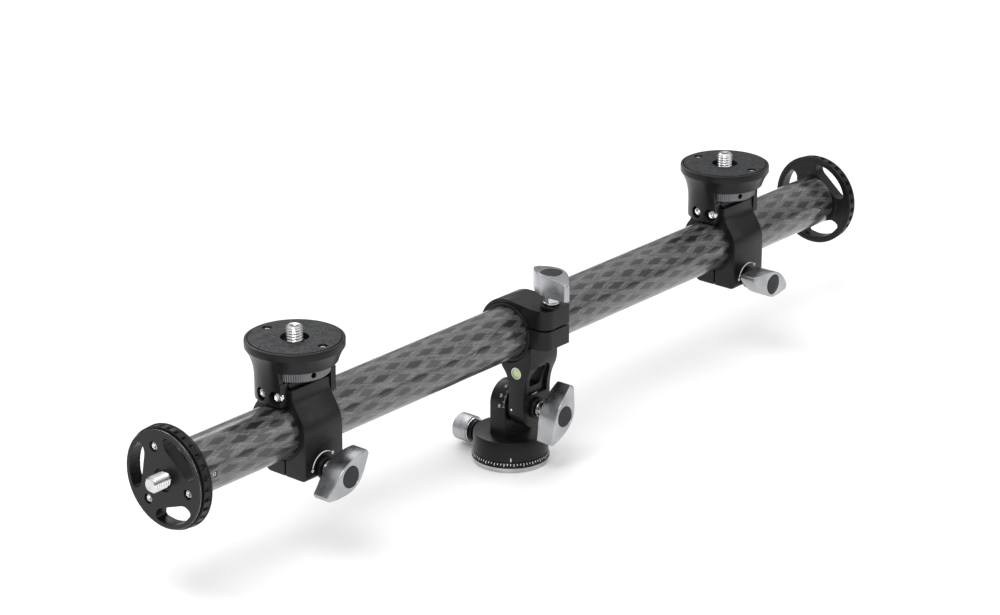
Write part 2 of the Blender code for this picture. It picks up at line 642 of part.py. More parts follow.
def cross_screws(side, axis, body, pedestal):
    """Two screws through the pedestal's left leg into the clamp's block."""
    head_end = math.sqrt(PEDESTAL_NECK ** 2 - (CROSS_SCREW_SPACING / 2 + CROSS_HEAD_RADIUS) ** 2)
    head_start = head_end - CROSS_HEAD_HEIGHT
    tip = CLAMP_WIDTH / 2 - CROSS_SCREW_GRIP
    hole = CROSS_SCREW_RADIUS + GAP
    for place_name, sign in (("front", -1), ("rear", 1)):
        spot = (0, sign * CROSS_SCREW_SPACING / 2, CROSS_SCREW_HEIGHT)
        profile = [
            (0, head_end), (CROSS_HEAD_RADIUS * 0.8, head_end), (CROSS_HEAD_RADIUS, head_end - 0.7 * MM),
            (CROSS_HEAD_RADIUS, head_start), (CROSS_SCREW_RADIUS, head_start),
            (CROSS_SCREW_RADIUS, tip), (0, tip),
        ]
        screw = turned(f"cross_screw_{side}_{place_name}", profile, "steel", COARSE)
        place(screw, axis, spot, "-X")
        drill(pedestal, CROSS_HEAD_RADIUS + GAP, head_start - GAP, 2 * PEDESTAL_NECK, axis, spot, "-X")
        drill(pedestal, hole, 0, head_end, axis, spot, "-X")
        drill(body, hole, tip - GAP, head_end, axis, spot, "-X")


def pedestal_profile():
    """Flared pedestal with a recess for the pad and a chamber for the thumbwheel."""
    stud_hole = THREAD_RADIUS + GAP
    recess = PEDESTAL_TOP - PAD_THICKNESS
    well = recess - 1.5 * MM
    ceiling = WHEEL_BOTTOM + WHEEL_THICKNESS + GAP
    floor = WHEEL_BOTTOM - GAP
    chamber = WHEEL_RADIUS + 2 * GAP
    flare = PEDESTAL_RADIUS - PEDESTAL_NECK
    drop = PEDESTAL_TOP - 3.8 * MM
    sweep = [(PEDESTAL_NECK + flare * share, drop - fall * MM)
             for share, fall in ((1.0, 0), (0.72, 3.8), (0.25, 9.6), (0, 18.0))]
    leg = CLAMP_WIDTH / 2 + GAP
    return [
        (stud_hole, well), (PAD_HOLE, well), (PAD_HOLE, recess), (PAD_RADIUS + GAP, recess),
        (PAD_RADIUS + GAP, PEDESTAL_TOP), (PEDESTAL_RADIUS - 0.4 * MM, PEDESTAL_TOP),
        (PEDESTAL_RADIUS, PEDESTAL_TOP - 0.4 * MM), *sweep, (PEDESTAL_NECK, PEDESTAL_FOOT),
        (leg / 2, PEDESTAL_FOOT), (leg / 2, floor), (chamber, floor), (chamber, ceiling),
        (stud_hole, ceiling),
    ]


def pedestal(side, axis):
    seat = place(turned("pedestal_" + side, pedestal_profile(), "black_anodised"), axis)
    leg = CLAMP_WIDTH / 2 + GAP
    wide = 2 * PEDESTAL_RADIUS
    ceiling = WHEEL_BOTTOM + WHEEL_THICKNESS + GAP
    channel = block("channel_" + side, (-leg, -wide, 0), (leg, wide, WHEEL_BOTTOM))
    cut(seat, place(channel, axis))
    opening = block("wheel_opening_" + side, (-wide, -wide, 0), (wide, BLOCK_FRONT, ceiling))
    cut(seat, place(opening, axis))
    pad_bottom = PEDESTAL_TOP - PAD_THICKNESS + GAP
    pad = ring("top_pad_" + side, PAD_HOLE, PAD_RADIUS, pad_bottom, pad_bottom + PAD_THICKNESS,
               "rubber_pad", FINE)
    place(pad, axis)
    for place_name, sign in (("front", -1), ("rear", 1)):
        spot = (0, sign * PAD_SCREW_OFFSET, 0)
        top = PEDESTAL_TOP - 0.2 * MM
        bottom = top - PAD_SCREW_LENGTH
        hole = PAD_SCREW_RADIUS + GAP
        drill(pad, hole, bottom, top + 2 * MM, axis, spot)
        drill(seat, hole, bottom - GAP, top + 2 * MM, axis, spot)
        screw = rod(f"pad_screw_{side}_{place_name}", PAD_SCREW_RADIUS, bottom, top, "steel", COARSE)
        place(screw, axis, spot)
    return seat


def camera_screw(side, axis, hole_angle):
    """3/8 inch stud and the knurled thumbwheel that turns it."""
    top = WHEEL_BOTTOM + WHEEL_THICKNESS
    bore = THREAD_RADIUS + GAP
    edge = 0.4 * MM
    profile = [
        (bore, top), (WHEEL_RADIUS - edge, top), (WHEEL_RADIUS, top - edge),
        (WHEEL_RADIUS, WHEEL_BOTTOM + edge), (WHEEL_RADIUS - edge, WHEEL_BOTTOM), (bore, WHEEL_BOTTOM),
    ]
    wheel = place(turned("thumbwheel_" + side, profile, "wheel_grey"), axis)
    hole = rod("tommy_hole_" + side, 1.6 * MM, WHEEL_RADIUS - 6 * MM, 2 * WHEEL_RADIUS, segments=COARSE)
    middle = (0, 0, WHEEL_BOTTOM + WHEEL_THICKNESS / 2)
    cut(wheel, place(hole, axis, middle, spin=hole_angle, within=Matrix.Rotation(TURN, 4, "Y")))
    stud = rod("camera_stud_" + side, THREAD_RADIUS, WHEEL_BOTTOM, STUD_TOP, "steel")
    place(stud, axis)


def sliding_clamp(side, axis, knob_angle, hole_angle):
    body = clamp_body(side, axis)
    seat = pedestal(side, axis)
    cross_screws(side, axis, body, seat)
    camera_screw(side, axis, hole_angle)
    front = TUBE_RADIUS + CLAMP_LINER_WALL + 2 * GAP + CLAMP_WALL
    spot = (0, -front, CLAMP_BOLT_DROP)
    wing_knob("clamp_" + side, axis, spot, "-Y", knob_angle, SHORT_KNOB, CLAMP_BOLT_RADIUS)
    wing_bolt("clamp_" + side, axis, spot, "-Y", SHORT_KNOB, CLAMP_BOLT_RADIUS,
              -front - REAR_LIP + 2 * MM)


def build():
    base_ring()
    turntable()
    pan_lock()
    hinge_bolt()
    tilt_arm()
    collar_liner()
    wing_knob("tilt", HINGE_AXIS, (0, arm_span()[1] - TUBE_FORWARD, 0), "-Y", math.radians(59),
              TALL_KNOB, BOLT_RADIUS)
    ear = (0, EAR_BOLT, EAR_TOP)
    wing_knob("collar", TUBE_AXIS, ear, "+Z", math.radians(68), TALL_KNOB, BOLT_RADIUS)
    wing_bolt("collar", TUBE_AXIS, ear, "+Z", TALL_KNOB, BOLT_RADIUS,
              EAR_BOTTOM / 2 + GAP - EAR_TOP)
    tube()
    end_disc("left", "-X")
    end_disc("right", "+X")
    sliding_clamp("left", LEFT_AXIS, math.radians(30), math.radians(-100))
    sliding_clamp("right", RIGHT_AXIS, math.radians(-22), math.radians(-112))


clear_scene()
PARTS = new_collection("lateral_arm")
CUTTERS = new_collection("cutters")
TUBE_RISE = (0, -TUBE_FORWARD, TUBE_HEIGHT - HINGE_HEIGHT)
GROUND = empty("ground", (-TUBE_SHIFT, TUBE_FORWARD / 2, 0))
PAN_AXIS = empty("pan_axis", (0, 0, 0), GROUND)
HINGE_AXIS = empty("hinge_axis", (0, 0, HINGE_HEIGHT), PAN_AXIS)
TUBE_AXIS = empty("tube_axis", TUBE_RISE, HINGE_AXIS)
LEFT_AXIS = empty("left_clamp_axis", (CLAMP_LEFT, 0, 0), TUBE_AXIS)
RIGHT_AXIS = empty("right_clamp_axis", (CLAMP_RIGHT, 0, 0), TUBE_AXIS)
build()
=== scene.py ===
# Carbon lateral camera arm: tube, tilting collar mount, sliding clamps, wing knobs and end discs.
# Shapes are numpy surfaces in millimetres, placed from the frame's own boxes, then turned into metres.
import bpy
import bmesh
import math
import numpy as np
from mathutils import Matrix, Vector


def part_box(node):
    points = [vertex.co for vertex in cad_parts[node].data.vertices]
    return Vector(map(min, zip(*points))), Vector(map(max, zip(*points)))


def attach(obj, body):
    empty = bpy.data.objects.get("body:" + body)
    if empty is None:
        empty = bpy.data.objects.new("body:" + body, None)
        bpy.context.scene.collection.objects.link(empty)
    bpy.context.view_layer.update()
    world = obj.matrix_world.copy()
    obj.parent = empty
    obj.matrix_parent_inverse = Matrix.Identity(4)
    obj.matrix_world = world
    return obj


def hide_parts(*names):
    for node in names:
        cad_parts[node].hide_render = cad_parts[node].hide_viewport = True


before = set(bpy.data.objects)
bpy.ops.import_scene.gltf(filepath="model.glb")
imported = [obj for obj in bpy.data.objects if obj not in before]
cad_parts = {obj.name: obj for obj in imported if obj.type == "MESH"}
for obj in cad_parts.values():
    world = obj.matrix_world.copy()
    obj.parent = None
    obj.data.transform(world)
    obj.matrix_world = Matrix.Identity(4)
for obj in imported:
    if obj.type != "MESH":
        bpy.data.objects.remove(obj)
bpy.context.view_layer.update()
print("frame loaded")

mm = 0.001
shoot = {"azimuth": -49.77, "elevation": 20.91, "distance": 1.89685, "lens": 116.05,
         "aim": (-26.1, -2.95, 103.95)}
sides = ("left", "right")


def middleOf(node):
    low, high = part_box(node)
    return (np.array(low) + np.array(high)) / 2 / mm


def lowOf(node):
    return np.array(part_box(node)[0]) / mm


def highOf(node):
    return np.array(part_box(node)[1]) / mm


tubeMiddle = middleOf("carbon_tube")
baseMiddle = middleOf("base_ring")
hingeMiddle = middleOf("tilt_bolt")
collarMiddle = middleOf("collar_liner")
hinge = np.array([baseMiddle[0], baseMiddle[1], hingeMiddle[2]])
collar = np.array([collarMiddle[0], tubeMiddle[1], tubeMiddle[2]])
clampAt = {s: np.array([middleOf("clamp_body_" + s)[0], tubeMiddle[1], tubeMiddle[2]]) for s in sides}

# aims: columns are where a piece's own x, y and z point
aims = {
    "+Z": np.array([[1, 0, 0], [0, 1, 0], [0, 0, 1]], float),
    "-Y": np.array([[1, 0, 0], [0, 0, 1], [0, -1, 0]], float),
    "+Y": np.array([[1, 0, 0], [0, 0, -1], [0, 1, 0]], float),
    "+X": np.array([[0, 1, 0], [0, 0, 1], [1, 0, 0]], float),
    "-X": np.array([[0, -1, 0], [0, 0, 1], [-1, 0, 0]], float),
}


def stood(points, at=(0, 0, 0), aim="+Z", spin=0.0):
    # p' = at + x(px cos s - py sin s) + y(px sin s + py cos s) + z pz, x y z being the aim's axes
    c, s = math.cos(spin), math.sin(spin)
    x = points[..., 0] * c - points[..., 1] * s
    y = points[..., 0] * s + points[..., 1] * c
    return np.array(at) + np.stack([x, y, points[..., 2]], -1) @ aims[aim]


def meshOf(name, grid, loop=False, caps=False):
    # a grid of rows, each row a closed ring; loop joins the last row to the first, caps close both ends
    rows, cols = grid.shape[:2]
    upper = rows if loop else rows - 1
    r = np.arange(upper)[:, None]
    c = np.arange(cols)[None, :]
    a, b = r * cols + c, r * cols + (c + 1) % cols
    nr = (r + 1) % rows
    quads = np.stack([a, b, nr * cols + (c + 1) % cols, nr * cols + c], -1).reshape(-1, 4).tolist()
    if caps:
        quads += [list(range(cols)), list(range((rows - 1) * cols, rows * cols))]
    mesh = bpy.data.meshes.new(name)
    mesh.from_pydata((grid.reshape(-1, 3) * mm).tolist(), [], quads)
    bm = bmesh.new()
    bm.from_mesh(mesh)
    bmesh.ops.remove_doubles(bm, verts=bm.verts, dist=2e-7)
    bmesh.ops.recalc_face_normals(bm, faces=bm.faces)
    bm.to_mesh(mesh)
    bm.free()
    piece = bpy.data.objects.new(name, mesh)
    bpy.context.scene.collection.objects.link(piece)
    return piece


def eased(profile, radius, steps=4):
    # each corner C of an open line becomes (1-t)^2 A + 2t(1-t) C + t^2 B, with A and B on its two sides,
    # up to radius away from it
    p = np.array(profile, float)
    out = [p[0]]
    for i in range(1, len(p) - 1):
        before, after = p[i - 1] - p[i], p[i + 1] - p[i]
        la, lb = np.linalg.norm(before), np.linalg.norm(after)
        d = min(radius, 0.45 * la, 0.45 * lb)
        a, b = p[i] + before / la * d, p[i] + after / lb * d
        t = np.linspace(0, 1, steps + 1)[:, None]
        out.extend((1 - t) ** 2 * a + 2 * t * (1 - t) * p[i] + t ** 2 * b)
    out.append(p[-1])
    return np.array(out)


def easedOutline(points, steps=6):
    # the same for a closed outline of (a, b, radius) corners
    p = np.array(points, float)
    xy, radii = p[:, :2], p[:, 2]
    out = []
    for i in range(len(p)):
        before, after = xy[i - 1] - xy[i], xy[(i + 1) % len(p)] - xy[i]
        la, lb = np.linalg.norm(before), np.linalg.norm(after)
        if radii[i] <= 0:
            out.append(xy[i:i + 1])
            continue
        d = min(radii[i], 0.49 * la, 0.49 * lb)
        t = np.linspace(0, 1, steps + 1)[:, None]
        a, b = xy[i] + before / la * d, xy[i] + after / lb * d
        out.append((1 - t) ** 2 * a + 2 * t * (1 - t) * xy[i] + t ** 2 * b)
    return np.concatenate(out)


def spun(name, profile, at, aim="+Z", ease=0.0, count=128, loop=False, wave=None, spin=0.0):
    # (r, h) carried round its axis: x = r cos a, y = r sin a, z = h, and a wave changes r to wave(r, h, a)
    line = eased(profile, ease) if ease else np.array(profile, float)
    a = np.linspace(0, 2 * np.pi, count, endpoint=False)[None, :]
    r, h = line[:, :1] + 0 * a, line[:, 1:] + 0 * a
    if wave:
        r = wave(r, h, a)
    grid = np.stack([r * np.cos(a), r * np.sin(a), h], -1)
    return meshOf(name, stood(grid, at, aim, spin), loop)


def ringPiece(name, inner, outer, bottom, top, at, aim, ease=0.25, count=96):
    # a rectangle section with eased corners carried round
    m = (inner + outer) / 2
    section = [(m, top), (outer, top), (outer, bottom), (inner, bottom), (inner, top), (m, top)]
    line = eased(section, ease)[:-1]
    return spun(name, line, at, aim, 0, count, True)


def slab(name, outline, bottom, top, at=(0, 0, 0), aim="+Z", spin=0.0, edge=0.0):
    # an outline (x, y) at heights from bottom to top; near each end it is drawn in by e(1 - sin t)
    # where its height is e(1 - cos t) from that end
    xy = np.array(outline, float)
    if edge:
        ahead, behind = np.roll(xy, -1, 0) - xy, xy - np.roll(xy, 1, 0)
        ahead = ahead / np.linalg.norm(ahead, axis=1)[:, None]
        behind = behind / np.linalg.norm(behind, axis=1)[:, None]
        way = ahead + behind
        way = way / np.linalg.norm(way, axis=1)[:, None]
        area = np.sum(xy[:, 0] * np.roll(xy[:, 1], -1) - np.roll(xy[:, 0], -1) * xy[:, 1])
        inward = np.stack([-way[:, 1], way[:, 0]], 1) * np.sign(area)
        t = np.linspace(0, np.pi / 2, 4)
        draw = edge * (1 - np.sin(t))
        rise = edge * (1 - np.cos(t))
        draws = np.concatenate([draw, draw[::-1]])
        heights = np.concatenate([bottom + rise, top - rise[::-1]])
    else:
        inward = 0 * xy
        draws, heights = np.zeros(2), np.array([bottom, top])
    flat = xy[None] + inward[None] * draws[:, None, None]
    grid = np.concatenate([flat, np.broadcast_to(heights[:, None, None], flat.shape[:2] + (1,))], -1)
    return meshOf(name, stood(grid, at, aim, spin), caps=True)


def sideSlab(name, outline, half, at, edge=0.0):
    # a (y, z) outline given width along X
    yz = np.array(outline, float)
    return slab(name, yz, -half, half, at, "+X", 0, edge)


def circle(radius, count=96, middle=(0, 0), start=0.0):
    a = start + np.linspace(0, 2 * np.pi, count, endpoint=False)
    return np.stack([middle[0] + radius * np.cos(a), middle[1] + radius * np.sin(a)], 1)


def arcLine(radius, start, end, steps):
    a = np.radians(np.linspace(start, end, steps))
    return np.stack([radius * np.cos(a), radius * np.sin(a)], 1)


def box(name, low, high, at):
    x0, y0, z0 = low
    x1, y1, z1 = high
    return slab(name, [(x0, y0), (x1, y0), (x1, y1), (x0, y1)], z0, z1, at)


def carve(piece, tool, operation="DIFFERENCE"):
    # the tool is used once and thrown away
    change = piece.modifiers.new("carve", "BOOLEAN")
    change.operation = operation
    change.solver = "EXACT"
    change.object = tool
    bpy.context.view_layer.update()
    shape = bpy.data.meshes.new_from_object(piece.evaluated_get(bpy.context.evaluated_depsgraph_get()))
    piece.modifiers.clear()
    piece.data = shape
    bpy.data.objects.remove(tool)
    return piece


def hole(piece, radius, start, end, at, aim, count=48):
    return carve(piece, slab("holeTool", circle(radius, count, start=0.03), start, end, at, aim))


looks = {
    "blackAnodised": {"colour": (0.006, 0.0062, 0.007), "rough": 0.32, "metal": 0.0, "grain": 0.05, "edge": 0.35},
    "silverBlasted": {"colour": (0.40, 0.405, 0.42), "rough": 0.30, "metal": 1.0, "grain": 0.16, "edge": 0.3},
    "steelBright": {"colour": (0.62, 0.62, 0.63), "rough": 0.16, "metal": 1.0, "grain": 0.02, "edge": 0.1},
    "steelEdge": {"colour": (0.50, 0.505, 0.52), "rough": 0.2, "metal": 1.0, "grain": 0.03, "edge": 0.1},
    "capGrey": {"colour": (0.02, 0.021, 0.023), "rough": 0.5, "metal": 0.0, "grain": 0.3, "edge": 0.2},
    "padRubber": {"colour": (0.022, 0.023, 0.025), "rough": 0.5, "metal": 0.0, "grain": 1.0, "edge": 0.2},
    "linerNylon": {"colour": (0.012, 0.012, 0.013), "rough": 0.42, "metal": 0.0, "grain": 0.05, "edge": 0.2},
    "wheelGrey": {"colour": (0.15, 0.153, 0.16), "rough": 0.32, "metal": 0.8, "grain": 0.06, "edge": 0.15},
    "brassPlain": {"colour": (0.62, 0.44, 0.18), "rough": 0.3, "metal": 1.0, "grain": 0.05, "edge": 0.1},
    "whiteMark": {"colour": (0.86, 0.87, 0.86), "rough": 0.55, "metal": 0.0, "grain": 0.1, "edge": 0.0},
}


def joined(tree, kind, inputs, **settings):
    made = tree.nodes.new(kind)
    for key, value in settings.items():
        setattr(made, key, value)
    for key, value in inputs.items():
        if isinstance(value, bpy.types.NodeSocket):
            tree.links.new(value, made.inputs[key])
        else:
            made.inputs[key].default_value = value
    return made


def sums(tree, operation, a, b=0.0, c=0.0):
    return joined(tree, "ShaderNodeMath", {0: a, 1: b, 2: c}, operation=operation).outputs[0]


def newMaterial(name):
    material = bpy.data.materials.new(name)
    material.use_nodes = True
    return material, material.node_tree, material.node_tree.nodes["Principled BSDF"]


def metalOrPlastic(name):
    # base colour wanders a little over 15 mm and roughness over 4 mm; the blasted or moulded grain is 0.2 mm
    look = looks[name]
    material, tree, shader = newMaterial(name)
    where = joined(tree, "ShaderNodeTexCoord", {}).outputs["Object"]
    broad = joined(tree, "ShaderNodeTexNoise", {"Vector": where, "Scale": 65.0, "Detail": 3.0}).outputs["Fac"]
    patch = joined(tree, "ShaderNodeTexNoise", {"Vector": where, "Scale": 260.0, "Detail": 4.0}).outputs["Fac"]
    # rubber is flecked grain by grain, other surfaces only wander
    coarse = look["grain"] > 0.9
    fine = joined(tree, "ShaderNodeTexNoise", {"Vector": where, "Scale": 1500.0 if coarse else 4200.0,
                                               "Detail": 2.0}).outputs["Fac"]
    reach, share = (0.95, fine) if coarse else (0.14, broad)
    dark = tuple(c * (1 - reach) for c in look["colour"]) + (1,)
    light = tuple(min(1, c * (1 + reach)) for c in look["colour"]) + (1,)
    ramp = joined(tree, "ShaderNodeValToRGB", {"Fac": share})
    ramp.color_ramp.elements[0].position, ramp.color_ramp.elements[0].color = 0.4, dark
    ramp.color_ramp.elements[1].position, ramp.color_ramp.elements[1].color = 0.62, light
    tree.links.new(ramp.outputs["Color"], shader.inputs["Base Color"])
    spread = joined(tree, "ShaderNodeMapRange", {"Value": patch, "From Min": 0.3, "From Max": 0.7,
                                                 "To Min": look["rough"] * 0.85, "To Max": look["rough"] * 1.2})
    tree.links.new(spread.outputs["Result"], shader.inputs["Roughness"])
    shader.inputs["Metallic"].default_value = look["metal"]
    shader.inputs["Specular IOR Level"].default_value = 0.5 if look["metal"] else 0.24
    bump = joined(tree, "ShaderNodeBump", {"Strength": look["grain"], "Distance": 0.0001, "Height": fine})
    if look["edge"]:
        rounding = joined(tree, "ShaderNodeBevel", {"Radius": look["edge"] * mm}, samples=4)
        tree.links.new(rounding.outputs["Normal"], bump.inputs["Normal"])
    tree.links.new(bump.outputs["Normal"], shader.inputs["Normal"])
    return material


braid = {"across": 8.378, "along": 28.0, "dark": 0.006, "middle": 0.045, "light": 0.24, "gloss": 0.14}


def carbonMaterial():
    # u = R atan2(y, z) / across and v = x / along; v + u and v - u count the two sets of crossing tows,
    # and where both are near the middle of a tow lies one long dark diamond
    material, tree, shader = newMaterial("carbonBraid")
    where = joined(tree, "ShaderNodeTexCoord", {}).outputs["Object"]
    centred = joined(tree, "ShaderNodeMapping", {"Vector": where, "Location": tuple(-tubeMiddle * mm)})
    parts = joined(tree, "ShaderNodeSeparateXYZ", {"Vector": centred.outputs["Vector"]}).outputs
    angle = sums(tree, "ARCTAN2", parts["Y"], parts["Z"])
    u = sums(tree, "MULTIPLY", angle, 16.0 / braid["across"])
    v = sums(tree, "MULTIPLY", parts["X"], 1000 / braid["along"])
    ring = joined(tree, "ShaderNodeCombineXYZ", {"X": sums(tree, "MULTIPLY", v, 2.0),
                                                 "Y": sums(tree, "MULTIPLY", u, 0.5)})
    wander = joined(tree, "ShaderNodeTexNoise", {"Vector": ring.outputs[0], "Scale": 2.6,
                                                 "Detail": 2.0}).outputs["Fac"]
    bands, streaks = [], []
    for sign in (1.0, -1.0):
        run = sums(tree, "ADD", sums(tree, "MULTIPLY_ADD", u, sign, v), sums(tree, "MULTIPLY", wander, 0.22))
        off = sums(tree, "ABSOLUTE", sums(tree, "SUBTRACT", sums(tree, "FRACT", run), 0.5))
        bands.append(joined(tree, "ShaderNodeMapRange", {"Value": off, "From Min": 0.22, "From Max": 0.32,
                                                         "To Min": 1.0, "To Max": 0.0}).outputs["Result"])
        # fibres: noise drawn out along the tow, which runs at a low angle to the tube
        spot = joined(tree, "ShaderNodeCombineXYZ", {
            "X": sums(tree, "MULTIPLY", sums(tree, "MULTIPLY_ADD", u, -sign, v), 1.3),
            "Y": sums(tree, "MULTIPLY", run, 17.0), "Z": 3.0 * sign})
        drawn = joined(tree, "ShaderNodeTexNoise", {"Vector": spot.outputs[0], "Scale": 1.0, "Detail": 6.0,
                                                    "Roughness": 0.7})
        streaks.append(drawn.outputs["Fac"])
    diamond = sums(tree, "MULTIPLY", bands[0], bands[1])
    fibre = sums(tree, "MAXIMUM", streaks[0], streaks[1])
    streak = joined(tree, "ShaderNodeMapRange", {"Value": fibre, "From Min": 0.42,
                                                 "From Max": 0.72}).outputs["Result"]
    lit = sums(tree, "SUBTRACT", 1.0, sums(tree, "MULTIPLY", diamond, 0.86))
    tone = sums(tree, "MULTIPLY", lit, sums(tree, "MULTIPLY_ADD", streak, 0.8, 0.16))
    ramp = joined(tree, "ShaderNodeValToRGB", {"Fac": tone})
    stops = ramp.color_ramp.elements
    stops[0].position, stops[0].color = 0.0, (braid["dark"],) * 3 + (1,)
    stops[1].position, stops[1].color = 0.9, (braid["light"], braid["light"], braid["light"] * 1.03, 1)
    mid = stops.new(0.36)
    mid.color = (braid["middle"], braid["middle"], braid["middle"] * 1.03, 1)
    tree.links.new(ramp.outputs["Color"], shader.inputs["Base Color"])
    rough = joined(tree, "ShaderNodeMapRange", {"Value": streak, "To Min": 0.28, "To Max": 0.42})
    tree.links.new(rough.outputs["Result"], shader.inputs["Roughness"])
    shader.inputs["Metallic"].default_value = 0.25
    shader.inputs["Coat Weight"].default_value = 0.7
    shader.inputs["Coat Roughness"].default_value = braid["gloss"]
    bump = joined(tree, "ShaderNodeBump", {"Strength": 0.1, "Distance": 0.0001, "Height": tone})
    tree.links.new(bump.outputs["Normal"], shader.inputs["Normal"])
    return material


def levelMaterial():
    material, tree, shader = newMaterial("levelVial")
    where = joined(tree, "ShaderNodeTexCoord", {}).outputs["Object"]
    swirl = joined(tree, "ShaderNodeTexNoise", {"Vector": where, "Scale": 300.0}).outputs["Fac"]
    ramp = joined(tree, "ShaderNodeValToRGB", {"Fac": swirl})
    ramp.color_ramp.elements[0].color = (0.30, 0.46, 0.10, 1)
    ramp.color_ramp.elements[1].color = (0.62, 0.80, 0.34, 1)
    tree.links.new(ramp.outputs["Color"], shader.inputs["Base Color"])
    shader.inputs["Roughness"].default_value = 0.08
    shader.inputs["Coat Weight"].default_value = 1.0
    return material


materials = {name: metalOrPlastic(name) for name in looks}
materials["carbonBraid"] = carbonMaterial()
materials["levelVial"] = levelMaterial()
print("materials ready")


def finished(piece, look, body, *nodes):
    piece.data.materials.clear()
    piece.data.materials.append(materials[look])
    piece.data.shade_smooth()
    piece.data.set_sharp_from_angle(angle=math.radians(32))
    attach(piece, body)
    if nodes:
        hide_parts(*nodes)
    return piece


def socketScrew(name, at, aim, bottom, top, radius, socket, depth, dome=0.0):
    # rows up the side and over a domed top to a socket whose wall is r = f / cos(((a + 30) mod 60) - 30)
    a = np.linspace(0, 2 * np.pi, 72, endpoint=False)
    one = np.ones_like(a)
    flats = socket / np.cos((a + np.pi / 6) % (np.pi / 3) - np.pi / 6)
    t = np.linspace(0, 1, 6)
    rows = [(0 * one, bottom * one), (radius * 0.96 * one, bottom * one), (radius * one, (bottom + 0.2) * one)]
    for k in t:
        r = radius * one + (flats + 0.25 - radius) * k
        rows.append((r, (top - dome * (1 - math.sin(k * math.pi / 2)) - 0.12 * (1 - k)) * one))
    rows += [(flats, (top - 0.25) * one), (flats, (top - depth) * one), (0 * one, (top - depth - 0.35) * one)]
    grid = np.stack([np.stack([r * np.cos(a), r * np.sin(a), h], -1) for r, h in rows])
    return meshOf(name, stood(grid, at, aim))


thread = {"pitch": 1.5875, "depth": 0.75, "rows": 10, "around": 56}


def threadedStud(name, at, aim, bottom, top, radius):
    # r = R - depth * |2 frac(h / pitch - a / 2pi) - 1|, run out to the chamfered ends
    h = np.linspace(bottom, top, int((top - bottom) / thread["pitch"] * thread["rows"]))[:, None]
    a = np.linspace(0, 2 * np.pi, thread["around"], endpoint=False)[None, :]
    wave = np.abs(2 * ((h / thread["pitch"] - a / (2 * np.pi)) % 1) - 1)
    r = radius - thread["depth"] * wave
    end = radius - 1.3 + np.minimum(h - bottom, top - h)
    r = np.minimum(r, end)
    body = np.stack([r * np.cos(a), r * np.sin(a), h + 0 * a], -1)
    tip = body[-1:] * np.array([0, 0, 1.0])
    foot = body[:1] * np.array([0, 0, 1.0])
    dimple = body[-1:] * np.array([0.45, 0.45, 1.0])
    tip = tip - np.array([0, 0, 0.9])
    return meshOf(name, stood(np.concatenate([foot, body, dimple, tip]), at, aim))


tubeSizes = {"radius": 16.0, "wall": 1.5}
tubeHalf = highOf("carbon_tube")[0] - tubeMiddle[0]
line = [(tubeSizes["radius"] - tubeSizes["wall"], -tubeHalf), (tubeSizes["radius"] - 0.15, -tubeHalf),
        (tubeSizes["radius"], -tubeHalf + 0.15), (tubeSizes["radius"], tubeHalf - 0.15),
        (tubeSizes["radius"] - 0.15, tubeHalf), (tubeSizes["radius"] - tubeSizes["wall"], tubeHalf)]
tube = spun("tubeShell", line, tubeMiddle, "+X", 0, 160, True)
for s in sides:
    screwAt = middleOf("plug_screw_" + s) * np.array([1, 0, 1]) + np.array([0, tubeMiddle[1], 0])
    hole(tube, 1.75, 8, 20, screwAt, "-Y", 32)
    plug = socketScrew("plugScrew_" + s, screwAt, "-Y", 10, 15.7, 1.3, 0.7, 1.0)
    finished(plug, "steelEdge", "tube", "plug_screw_" + s)
finished(tube, "carbonBraid", "tube", "carbon_tube")

disc = {"thick": 8.2, "face": 28.0, "grip": 28.95, "lip": 29.3, "plug": 14.2, "plugLength": 20.0,
        "bore": 5.1, "notches": 30, "notchDepth": 1.35, "slotIn": 15.2, "slotOut": 25.3, "slotHalf": 36.5,
        "slotCorner": 3.2, "turn": 50.0, "screwHole": 2.9, "screw": 2.6, "socket": 1.45, "stud": 4.76,
        "studOut": 9.5}


def gripRim(r, h, a):
    # r falls by depth * clip(2.6 sin(n a) - 0.3, 0, 1) on the band between the lip and the face's groove
    bite = disc["notchDepth"] * np.clip(2.6 * np.sin(disc["notches"] * a) - 0.3, 0, 1)
    band = np.clip((h - 1.7) / 0.5, 0, 1) * np.clip((5.3 - h) / 0.4, 0, 1)
    return np.where(r > disc["grip"] - 0.7, r - bite * band, r)


def kidney(middle, inner, outer, half):
    # an arc about the disc's middle closed by a straight chord at the inner distance, corners eased
    a = np.linspace(middle - half, middle + half, 13)
    chord = inner / math.cos(half)
    shape = [(outer * np.cos(q), outer * np.sin(q), 0) for q in a]
    corner = disc["slotCorner"]
    shape[0], shape[-1] = shape[0][:2] + (corner,), shape[-1][:2] + (corner,)
    shape[1:3], shape[-3:-1] = [], []
    shape += [(chord * np.cos(q), chord * np.sin(q), corner) for q in (a[-1], a[0])]
    return easedOutline(np.array(shape), 8)


